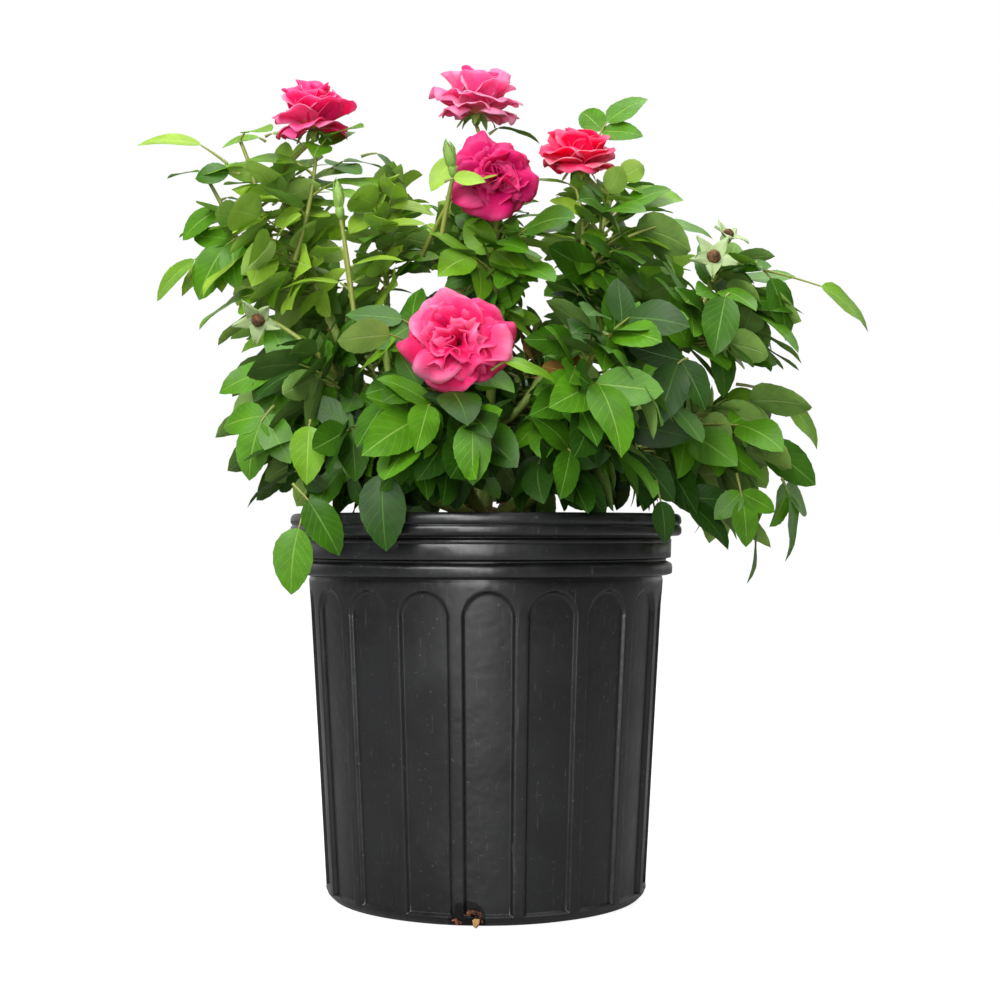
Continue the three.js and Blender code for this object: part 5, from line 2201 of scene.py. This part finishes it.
@dataclass
class Stems:
    """The canes and boughs with their bark, carried on through the masses as leaders."""

    skeleton: Frame
    leader_tip: float = 1.5
    sunk: float = 12.0
    bough_sunk: float = 3.0
    leader_from: float = 0.05
    prickle_spacing: float = 17.0
    spacing_spread: tuple[float, float] = (0.6, 1.5)
    bare_end: float = 10.0
    prickle_length: float = 5.0
    length_spread: tuple[float, float] = (0.6, 1.15)
    full_radius: float = 2.4
    seat: float = 0.8
    hook: float = 0.25

    def runs(self) -> Runs:
        """Lays each limb from inside its seat through its mass's leader.

        Returns:
            The limbs' lines.
        """
        runs = Runs()
        for mass in MASSES:
            limb = self.skeleton.limbs[mass.name]
            path = limb.path
            foot = path.point(0.0) - path.tangent(0.0) * (self.bough_sunk if mass.parent else self.sunk)
            leader = self.skeleton.leaders[mass.name].point(np.linspace(self.leader_from, 1, 16))
            points = np.vstack([foot, path.point(np.linspace(0, 1, 24)), leader])
            runs.put(points, limb.form.foot_radius, self.leader_tip)
        return runs

    def prickles(self, runs: Runs) -> Places:
        """Sets prickles round the limbs at even steps, each turned on from the last.

        Args:
            runs: The limbs' lines.

        Returns:
            The prickles' places.
        """
        places = Places()
        draw = Seed.PRICKLES.draws()
        for points, radii in zip(runs.points, runs.radii):
            steps = np.linalg.norm(np.diff(points, axis=0), axis=1)
            travelled = np.concatenate([[0], np.cumsum(steps)])
            turn = draw.between(0, FULL_TURN)
            at = self.sunk + self.prickle_spacing * draw()
            while at < travelled[-1] - self.bare_end:
                here = np.array([np.interp(at, travelled, points[:, axis]) for axis in range(3)])
                there = np.array([np.interp(at + 2, travelled, points[:, axis]) for axis in range(3)])
                radius = float(np.interp(at, travelled, radii))
                along = unit(there - here)
                across, over = frame_of(along)
                out = across * math.cos(turn) + over * math.sin(turn)
                size = self.prickle_length * draw.between(*self.length_spread)
                size *= min(1, radius / self.full_radius)
                places.put(here + out * radius * self.seat, unit(out - along * self.hook), along, size, 0, 0)
                turn += math.radians(GOLDEN_TURN)
                at += self.prickle_spacing * draw.between(*self.spacing_spread)
        return places

    def prickle_form(self) -> Mesh:
        """Makes a prickle with a length of one metre: a broad flat foot and a hooked point.

        Returns:
            Its mesh.
        """
        sides = 6
        rings = ((0.0, 0.2, 0.42, 0.0), (0.3, 0.12, 0.24, 0.02), (0.65, 0.06, 0.1, -0.04))
        points = []
        for along, across, up, hook in rings:
            for turn in even_turns(sides):
                points.append((across * math.cos(turn), along, up * math.sin(turn) + hook))
        tip = len(points)
        points += [(0, 1.0, -0.2), (0, -0.05, 0)]
        faces: Faces = []
        for side in range(sides):
            following = (side + 1) % sides
            for low in range(0, tip - sides, sides):
                high = low + sides
                faces.append((low + side, high + side, high + following, low + following))
            faces.append((tip - sides + side, tip, tip - sides + following))
            faces.append((side, following, tip + 1))
        mesh = new_mesh("prickle", np.array(points) * METRE, faces)
        mesh.attributes.new("lower_side", "BOOLEAN", "FACE")
        return mesh

    def build(self) -> None:
        """Builds the stems and their prickles."""
        runs = self.runs()
        tree = stem_tree("stems_with_bark", CANE, True)
        nodes = [("bough_" if mass.parent else "cane_") + mass.name for mass in MASSES]
        settle(grown("stems", runs.mesh("stems"), tree, {"Sides": 12, "Step": 0.0025}), nodes)
        prickles = CopySet("prickles", [self.prickle_form()], [(PRICKLE_HORN, PRICKLE_HORN)])
        settle(prickles.piece("stem_prickles", self.prickles(runs)))


@dataclass
class StemBase:
    """The knobbly union at the soil that the canes spring from."""

    radius: float = 20.0
    flare_radius: float = 27.0
    flare_height: float = 4.0
    foot: float = 220.3
    centre: float = 230.3
    sides: int = 48
    knob: float = 1.6
    knobs: tuple[Triple, ...] = ((5, 0.09, 1), (9, -0.2, 0.7), (17, 0.5, 0.5))
    sunk: float = 2.0
    foot_slope: float = 3.0
    dome_slope: float = 1.6
    even_within: float = 6.0

    def build(self) -> None:
        """Turns the dome and swells it in knobs."""
        turns = np.linspace(0, math.pi / 2, 16)
        sunk = self.foot - self.sunk
        profile = [(0.0, sunk), (self.flare_radius - self.foot_slope, sunk), (self.flare_radius, self.foot)]
        profile += [(self.radius + self.dome_slope, self.foot + self.flare_height)]
        dome = [(self.radius * math.cos(turn), self.radius * math.sin(turn)) for turn in turns]
        profile += [(radius, self.centre + height) for radius, height in dome]
        profile[-1] = (0.0, self.centre + self.radius)
        join = GridJoin()
        join.turned(np.array(profile), vector(0, 0, 0), UP, self.sides, 0)
        points = join.points[0]
        turn = np.arctan2(points[:, 1], points[:, 0])
        swell = sum(size * np.sin(count * turn + climb * points[:, 2]) for count, climb, size in self.knobs)
        level = np.hypot(points[:, 0], points[:, 1])
        outer = np.clip(level / self.radius, 0, 1)
        share = 1 + self.knob * swell * outer / np.maximum(level, self.even_within)
        points[:, :2] *= share[:, None]
        settle(join.piece("stem_base_bark", [KNUCKLE_BARK]), ["stem_base"])


# The pot

@dataclass
class NurseryPot:
    """A blow-moulded pot: a tapered body with arch-topped flutes, a stepped collar and a rolled lip."""

    height: float = 245.0
    foot_radius: float = 102.8
    foot_round: float = 7.0
    shoulder_radius: float = 114.0
    shoulder: float = 203.0
    wall: float = 4.0
    floor: float = 3.0
    flutes: int = 18
    first_flute: float = 1.2
    flute_width: float = 15.4
    flute_top: float = 198.0
    flute_foot: float = 7.0
    flute_depth: float = 2.4
    flute_edge: float = 1.1
    drains: int = 4
    first_drain: float = -5.9
    drain_width: float = 22.0
    drain_height: float = 16.0
    drain_inward: float = 14.0
    drain_outward: float = 8.0
    most_rounded: float = 0.48
    edge_rows: tuple[float, ...] = (-1, -0.4, 0, 0.4, 1, 6)
    edge_columns: tuple[float, ...] = (-0.55, -0.35, -0.15, 0, 0.15, 0.35, 0.55, 1.2)
    flute_margin: float = 0.8
    flute_columns: int = 27
    crisp_degrees: float = 40.0

    def body_radius(self, height: float | Array) -> float | Array:
        """Gives the body's radius at a height, between the flutes."""
        return self.foot_radius + (self.shoulder_radius - self.foot_radius) * height / self.shoulder

    def rounded(self, points: Sequence[Triple]) -> list[tuple[float, float]]:
        """Rounds the corners of a profile.

        Args:
            points: Radius, height and corner radius of each corner.

        Returns:
            Radius and height of each point of the rounded profile.
        """
        line: list[tuple[float, float]] = []
        corners = np.array([point[:2] for point in points])
        for place, (radius, height, round_off) in enumerate(points):
            here = vector(radius, height)
            if place in (0, len(points) - 1) or not round_off:
                line.append((radius, height))
                continue
            back, ahead = corners[place - 1] - here, corners[place + 1] - here
            start = here + back * min(self.most_rounded, round_off / np.linalg.norm(back))
            end = here + ahead * min(self.most_rounded, round_off / np.linalg.norm(ahead))
            for share in (0, 0.5, 1):
                spot = start * (1 - share) ** 2 + 2 * here * share * (1 - share) + end * share ** 2
                line.append((float(spot[0]), float(spot[1])))
        return line

    def outer_rows(self) -> list[tuple[float, float]]:
        """Lists the body's rows, close together where the flutes' arches lie.

        Returns:
            Radius and height of each.
        """
        arch = self.body_radius(self.flute_top) * math.sin(math.radians(self.flute_width / 2))
        edge = self.flute_foot
        heights = [edge + step for step in self.edge_rows]
        heights += list(np.linspace(edge + 20, self.flute_top - arch - 8, 9))
        heights += list(np.arange(self.flute_top - arch - 2, self.flute_top + 2, 0.75))
        heights.append(self.shoulder)
        return [(float(self.body_radius(z)), float(z)) for z in heights]

    def collar(self) -> list[tuple[float, float]]:
        """Lists the rows of the bead, the collar, the two rolls of the lip and the inner wall.

        Returns:
            Radius and height of each.
        """
        corners = [
            (113.9, 203.6, 0), (113.3, 205.6, 0.5), (117.5, 206.2, 0.8), (120.0, 206.9, 1.2),
            (120.1, 213.2, 1.6), (117.4, 214.6, 0.8), (115.9, 215.2, 0.5), (116.2, 216.6, 0.5),
            (119.2, 217.1, 0.7), (119.5, 226.2, 0), (119.2, 226.6, 0), (119.5, 227.0, 0),
            (119.6, 229.0, 0.8), (118.2, 229.9, 0.5), (118.4, 230.7, 0.4), (124.2, 231.0, 1.0),
            (126.0, 232.4, 1.2), (126.0, 236.4, 1.2), (124.6, 237.8, 0.4), (126.0, 239.2, 1.2),
            (125.8, 243.0, 1.6), (123.8, 245.0, 1.4), (121.0, 245.0, 1.0), (120.2, 243.4, 0.8),
            (116.0, 229.6, 3), (110.0, 203.0, 3), (99.0, 3.0, 0),
        ]
        return self.rounded(corners)

    def columns(self) -> Array:
        """Lists the turns of the mesh's columns, close together at the flutes' edges.

        Returns:
            The turns, in radians.
        """
        half = self.flute_width / 2
        pitch = 360 / self.flutes
        inner = half - self.flute_margin
        inside = np.linspace(-inner, inner, self.flute_columns)
        outside = half + np.array(self.edge_columns)
        one = np.unique(np.round(np.concatenate([inside, outside, -outside]), 4))
        one = np.append(one, pitch / 2)
        turns = [self.first_flute + number * pitch + one for number in range(self.flutes)]
        return np.radians(np.concatenate(turns))

    def recess(self, turns: Array, height: float) -> Array:
        """Finds how deep the flutes cut at each turn of a row.

        Args:
            turns: The turns of the row's columns, in radians.
            height: The row's height.

        Returns:
            A depth in millimetres for each column.
        """
        pitch = FULL_TURN / self.flutes
        local = (turns - math.radians(self.first_flute) + pitch / 2) % pitch - pitch / 2
        radius = self.body_radius(height)
        aside = np.abs(local) * radius
        half = radius * math.sin(math.radians(self.flute_width / 2))
        arch = self.body_radius(self.flute_top) * math.sin(math.radians(self.flute_width / 2))
        spring = self.flute_top - arch
        outside = aside - half if height < spring else np.hypot(aside, height - spring) - arch
        outside = np.maximum(outside, self.flute_foot - height)
        return self.flute_depth * (1 - smooth_step(-self.flute_edge, self.flute_edge, outside))

    def shell(self) -> Mesh:
        """Turns the whole shell, with the flutes pressed into its body.

        Returns:
            Its mesh.
        """
        turns = self.columns()
        rows: list[tuple[float, float, bool]] = []
        for angle in (0, 30, 60, 90):
            slope = math.radians(angle)
            radius = self.foot_radius + 0.2 - self.foot_round * (1 - math.sin(slope))
            rows.append((radius, self.foot_round * (1 - math.cos(slope)), False))
        rows = rows[:-1] + [(radius, height, True) for radius, height in self.outer_rows()]
        rows += [(radius, height, False) for radius, height in self.collar()]
        rings = []
        for radius, height, fluted in rows:
            level = radius - self.recess(turns, height) if fluted else np.full(len(turns), radius)
            up = np.full(len(turns), height)
            rings.append(np.stack([level * np.sin(turns), -level * np.cos(turns), up], 1))
        points = np.vstack(rings + [[(0, 0, 0), (0, 0, self.floor)]])
        count, around = len(rows), len(turns)
        bottom, inside = count * around, count * around + 1
        faces: Faces = []
        for column in range(around):
            following = (column + 1) % around
            faces.append((following, column, bottom))
            for row in range(count - 1):
                low, high = row * around, (row + 1) * around
                faces.append((low + column, low + following, high + following, high + column))
            last = (count - 1) * around
            faces.append((last + column, last + following, inside))
        return new_mesh("pot_shell", points, faces)

    def drain_ways(self, number: float) -> tuple[Array, Array]:
        """Gives the ways out of a drain hole and along the wall beside it."""
        turn = math.radians(self.first_drain + number * 360 / self.drains)
        return vector(math.sin(turn), -math.cos(turn), 0), vector(math.cos(turn), math.sin(turn), 0)

    def drain_cutter(self) -> Mesh:
        """Makes the four arched prisms that cut the drain holes.

        Returns:
            Their mesh.
        """
        join = GridJoin()
        half = self.drain_width / 2
        spring = self.drain_height - half
        outline = [(-half, -2.0), (half, -2.0)]
        outline += [(half * math.cos(t), spring + half * math.sin(t)) for t in np.linspace(0, math.pi, 17)]
        near, far = self.foot_radius - self.drain_inward, self.foot_radius + self.drain_outward
        for number in range(self.drains):
            out, side = self.drain_ways(number)
            rings = [[out * depth + side * x + UP * z for x, z in outline] for depth in (near, far)]
            points = np.vstack(rings)
            count = len(outline)
            faces: Faces = [tuple(range(count)), tuple(reversed(range(count, 2 * count)))]
            for here in range(count):
                there = (here + 1) % count
                faces.append((there, here, count + here, count + there))
            join.add(points, faces, np.zeros((len(points), 2)), [0] * len(faces))
        return new_mesh("drain_cutter", np.vstack(join.points), join.faces)

    def build(self) -> None:
        """Builds the pot, cuts its drain holes and keeps its edges crisp."""
        pot = show("nursery_pot", self.shell())
        cutter = show("drain_cutter", self.drain_cutter())
        cut = pot.modifiers.new("drains", "BOOLEAN")
        cut.operation = "DIFFERENCE"
        cut.solver = "MANIFOLD"
        cut.object = cutter
        mesh = plain(pot)
        pot.modifiers.remove(cut)
        pot.data = mesh
        bpy.data.objects.remove(cutter)
        mesh.shade_smooth()
        mesh.set_sharp_from_angle(angle=math.radians(self.crisp_degrees))
        mesh.materials.clear()
        mesh.materials.append(material_of(POT_PLASTIC))
        settle(pot, ["pot"])


@dataclass
class PottingMix:
    """Composted bark: a lumpy body that fills the pot, with loose chips on top and at the drain holes."""

    pot: NurseryPot
    top: float = 219.0
    gap: float = 0.5
    sides: int = 96
    rings: int = 26
    lump: float = 2.2
    chips: int = 1500
    chip_sizes: tuple[float, float] = (6.0, 17.0)
    chip_forms: int = 6
    edge_gap: float = 9.0
    stem_clearing: float = 24.0
    dark_share: float = 0.6
    brown_share: float = 0.92
    drain_chips: int = 90
    drain_sizes: tuple[float, float] = (3.0, 6.0)
    drain_half: float = 9.0
    drain_level: float = 8.0
    front_bulge: float = 3.6
    side_bulge: float = 0.6

    def wall_radius(self, height: float) -> float:
        """Gives the mix's radius at a height, just inside the pot's wall."""
        return float(self.pot.body_radius(min(height, self.pot.shoulder))) - self.pot.wall - self.gap

    def body(self) -> Piece:
        """Makes the lumpy body.

        Returns:
            Its object.
        """
        low = self.pot.floor + self.gap
        profile = [(0.0, low)] + [(self.wall_radius(z), z) for z in (low, 60, 120, 180, self.top - 1)]
        edge = self.wall_radius(self.top)
        profile += [(edge * share, self.top) for share in np.linspace(0.985, 0.03, self.rings)]
        profile += [(0.0, self.top)]
        join = GridJoin()
        join.turned(np.array(profile), vector(0, 0, 0), UP, self.sides, 0)
        points = join.points[0]
        inner = np.hypot(points[:, 0], points[:, 1]) < edge * 0.97
        raised = inner & (points[:, 2] > self.top - 0.5)
        x, y = points[:, 0], points[:, 1]
        lumps = np.sin(x * 0.31 + 1.3 * np.sin(y * 0.17)) * np.cos(y * 0.27 + np.sin(x * 0.13))
        lumps += 0.5 * np.sin(x * 0.83 + y * 0.61)
        points[:, 2] += np.where(raised, self.lump * lumps * 0.5, 0)
        return join.piece("potting_mix_body", [MIX_BARK])

    def chip_mesh(self, number: int) -> Mesh:
        """Makes one chip with a length of one metre: a flat seven-sided flake with broken ends.

        Args:
            number: The form's number.

        Returns:
            Its mesh.
        """
        draw = Seed.CHIP.draws(number)
        sides = 7
        width, thick = draw.between(0.3, 0.6), draw.between(0.1, 0.22)
        rim = []
        for turn in even_turns(sides):
            across = draw.between(0.8, 1.2) * width / 2 * math.cos(turn)
            rim.append((across, 0.5 + draw.between(0.8, 1.1) * math.sin(turn) / 2))
        points = [(x, y, thick / 2 * draw.between(0.6, 1.2)) for x, y in rim]
        points += [(x * 0.96, 0.5 + (y - 0.5) * 0.94, -thick / 2) for x, y in rim]
        points += [(0, 0.5, thick * 0.7), (0, 0.5, -thick * 0.6)]
        faces: Faces = []
        for side in range(sides):
            following = (side + 1) % sides
            faces.append((side, following, 2 * sides))
            faces.append((sides + following, sides + side, 2 * sides + 1))
            faces.append((following, side, sides + side, sides + following))
        mesh = new_mesh(f"chip_{number:02d}", np.array(points) * METRE, faces)
        mesh.shade_flat()
        mesh.attributes.new("lower_side", "BOOLEAN", "FACE")
        return mesh

    def strew_top(self, places: Places, draw: Draws) -> None:
        """Strews chips on the mix's top.

        Args:
            places: The places that take them.
            draw: The draws for where and how they lie.
        """
        edge = self.wall_radius(self.top) - self.edge_gap
        for _ in range(self.chips):
            radius = edge * math.sqrt(draw())
            turn = FULL_TURN * draw()
            if radius < self.stem_clearing:
                continue
            at = vector(radius * math.cos(turn), radius * math.sin(turn), self.top + draw.between(-0.5, 3))
            yaw = FULL_TURN * draw()
            along = unit(vector(math.cos(yaw), math.sin(yaw), draw.between(-0.25, 0.25)))
            upper = unit(UP + vector(draw.between(-0.5, 0.5), draw.between(-0.5, 0.5), 0))
            size = draw.between(*self.chip_sizes) * (0.5 + 0.5 * draw())
            chance = draw()
            finish = 0 if chance < self.dark_share else (1 if chance < self.brown_share else 2)
            places.put(at - along * size / 2, along, upper, size, int(draw() * self.chip_forms), finish)

    def pack_drain(self, places: Places, number: int, draw: Draws) -> None:
        """Packs small chips within the arch of a drain hole.

        Args:
            places: The places that take them.
            number: The hole's number; the front one bulges.
            draw: The draws for where and how they lie.
        """
        out, side = self.pot.drain_ways(number)
        bulge = self.side_bulge if number else self.front_bulge
        half = self.drain_half
        for _ in range(self.drain_chips):
            depth = self.wall_radius(self.drain_level) + draw.between(bulge - 4, bulge)
            aside = draw.between(-half, half)
            above = draw.between(3, 5 + math.sqrt(half * half - aside * aside))
            at = out * depth + side * aside + UP * above
            along = side * draw.between(-1, 1) + UP * draw.between(-0.6, 0.6)
            along = unit(along + out * draw.between(-0.3, 0.3))
            size = draw.between(*self.drain_sizes)
            finish = 0 if draw() < 0.5 else 3
            places.put(at - along * size / 2, along, out, size, int(draw() * self.chip_forms), finish)

    def chip_places(self) -> Places:
        """Lays out all chips.

        Returns:
            Their places, with the pale splinter that sticks out at the front last.
        """
        places = Places()
        draw = Seed.STREW.draws()
        self.strew_top(places, draw)
        for number in range(self.pot.drains):
            self.pack_drain(places, number, draw)
        turn = math.radians(self.pot.first_drain + 3)
        out = vector(math.sin(turn), -math.cos(turn), 0)
        places.put(out * (self.pot.foot_radius - 5) + UP * 7, unit(out + UP * -0.5), UP, 12, 1, 2)
        return places

    def build(self) -> None:
        """Builds the mix and its chips."""
        settle(self.body(), ["potting_mix"])
        finishes = [(chip, chip) for chip in (CHIP_DARK, CHIP_BROWN, CHIP_TAN, CHIP_RED)]
        forms = [self.chip_mesh(number) for number in range(self.chip_forms)]
        chips = CopySet("bark_chips", forms, finishes, spread=0.1, seed=3)
        settle(chips.piece("bark_chips", self.chip_places()))


# The studio

@dataclass(frozen=True)
class SoftBox:
    """A soft box: its place and size in metres, and its power in watts."""

    name: str
    at: Triple
    width: float
    height: float
    power: float


SOFT_BOXES = (
    SoftBox("key_light", (-0.9, -1.5, 1.7), 1.1, 1.1, 44),
    SoftBox("front_light", (-0.25, -1.9, 0.8), 0.5, 1.5, 26),
    SoftBox("top_light", (0.3, 0.2, 1.9), 1.6, 1.6, 30),
)


@dataclass
class Studio:
    """The camera, the pale floor and the soft light."""

    eye: Triple = (9, -1120, 234)
    backdrop: float = 0.8
    room: float = 0.16
    focal_px: float = 1728.0
    picture_px: float = 1000.0
    horizon_px: float = 531.0
    floor_radius: float = 60000.0
    floor_sides: int = 64
    looked_at: Triple = (0, 0, 0.28)

    def picture_of(self, points: Array) -> tuple[Array, Array]:
        """Finds the column and the row of the picture that each point shows at."""
        x, _, z = (self.focal_px * (points - self.eye) / (points[:, 1:2] - self.eye[1])).T
        return self.picture_px / 2 + x, self.horizon_px - z

    def camera(self) -> None:
        """Sets a level camera whose frame is shifted so that the horizon lies where it should."""
        data = bpy.data.cameras.new("camera")
        data.sensor_width = 36.0
        data.lens = self.focal_px / self.picture_px * data.sensor_width
        data.shift_y = (self.horizon_px - self.picture_px / 2) / self.picture_px
        data.clip_end = 200
        camera = bpy.data.objects.new("camera", data)
        camera.location = [value / METRE for value in self.eye]
        camera.rotation_euler = (math.pi / 2, 0, 0)
        bpy.context.scene.collection.objects.link(camera)
        bpy.context.scene.camera = camera

    def floor(self) -> None:
        """Lays the floor as a wide disc."""
        turns = even_turns(self.floor_sides)
        rim = self.floor_radius * np.stack([np.cos(turns), np.sin(turns), 0 * turns], axis=1)
        mesh = new_mesh("floor", rim, [tuple(range(self.floor_sides))])
        mesh.materials.append(material_of(PlainFloor("pale_floor_paint")))
        show("floor", mesh)

    def hang(self, box: SoftBox) -> None:
        """Hangs a soft box so that it looks at the bush.

        Args:
            box: The soft box.
        """
        data = bpy.data.lights.new(box.name, "AREA")
        data.shape = "RECTANGLE"
        data.size, data.size_y = box.width, box.height
        data.energy = box.power
        lamp = bpy.data.objects.new(box.name, data)
        lamp.location = box.at
        look = unit(vector(*self.looked_at) - vector(*box.at))
        level = math.hypot(look[0], look[1])
        lamp.rotation_euler = (math.atan2(level, -look[2]), 0, math.atan2(look[1], look[0]) - math.pi / 2)
        bpy.context.scene.collection.objects.link(lamp)

    def build(self) -> None:
        """Sets up the camera, the floor, the sky and the lamps."""
        self.camera()
        self.floor()
        scene = bpy.context.scene
        scene.view_settings.view_transform = "Standard"
        world = bpy.data.worlds.new("white_studio")
        world.use_nodes = True
        tree = world.node_tree
        # A lit white backdrop stands behind the bush, and the room before it is dim
        way = add_node(tree, "ShaderNodeTexCoord").outputs["Generated"]
        depth = add_node(tree, "ShaderNodeSeparateXYZ", way).outputs["Y"]
        light = add_node(tree, "ShaderNodeMapRange", depth, 0.1, 0.75, self.room, self.backdrop, **SMOOTH)
        seen = add_node(tree, "ShaderNodeLightPath").outputs["Is Camera Ray"]
        strength = add_node(tree, "ShaderNodeMix", sockets={0: seen, 2: light, 3: 1.0}, data_type="FLOAT")
        feed(tree, tree.nodes["Background"], {"Color": (1, 1, 1, 1), "Strength": strength})
        scene.world = world
        for box in SOFT_BOXES:
            self.hang(box)


def grow_crown(skeleton: Frame, studio: Studio) -> None:
    """Grows the leaves, the blossom and their twigs.

    Args:
        skeleton: The limbs and leaders that they grow on.
        studio: The studio, whose camera sees sky between the leaves.
    """
    foliage = Foliage(skeleton, studio)
    foliage.grow()
    pairs = [(UPPER_SIDES[tint], UNDER_SIDES[tint]) for tint in Tint]
    leaves = CopySet("leaflets", LeafletForms().meshes(), pairs)
    for part in Part:
        joined = Places()
        for name in part.value:
            joined.take(foliage.places[name])
        piece = leaves.piece("leaves_" + part.name.lower(), joined)
        settle(piece, ["foliage_" + name for name in part.value])
        log.info("%s holds %d leaflets", piece.name, len(joined.at))
    Blossoms(skeleton).build(foliage.twigs)
    tree = stem_tree("twigs_round", TWIG_SKIN, False)
    settle(grown("twigs", foliage.twigs.mesh("twigs"), tree, {"Sides": 5}))


def main() -> None:
    """Builds the bush, its pot and the studio."""
    studio = Studio()
    studio.build()
    pot = NurseryPot()
    pot.build()
    PottingMix(pot).build()
    StemBase().build()
    skeleton = Frame()
    Stems(skeleton).build()
    grow_crown(skeleton, studio)


if __name__ == "__main__":
    logging.basicConfig(level=logging.INFO, format="%(message)s")
    main()
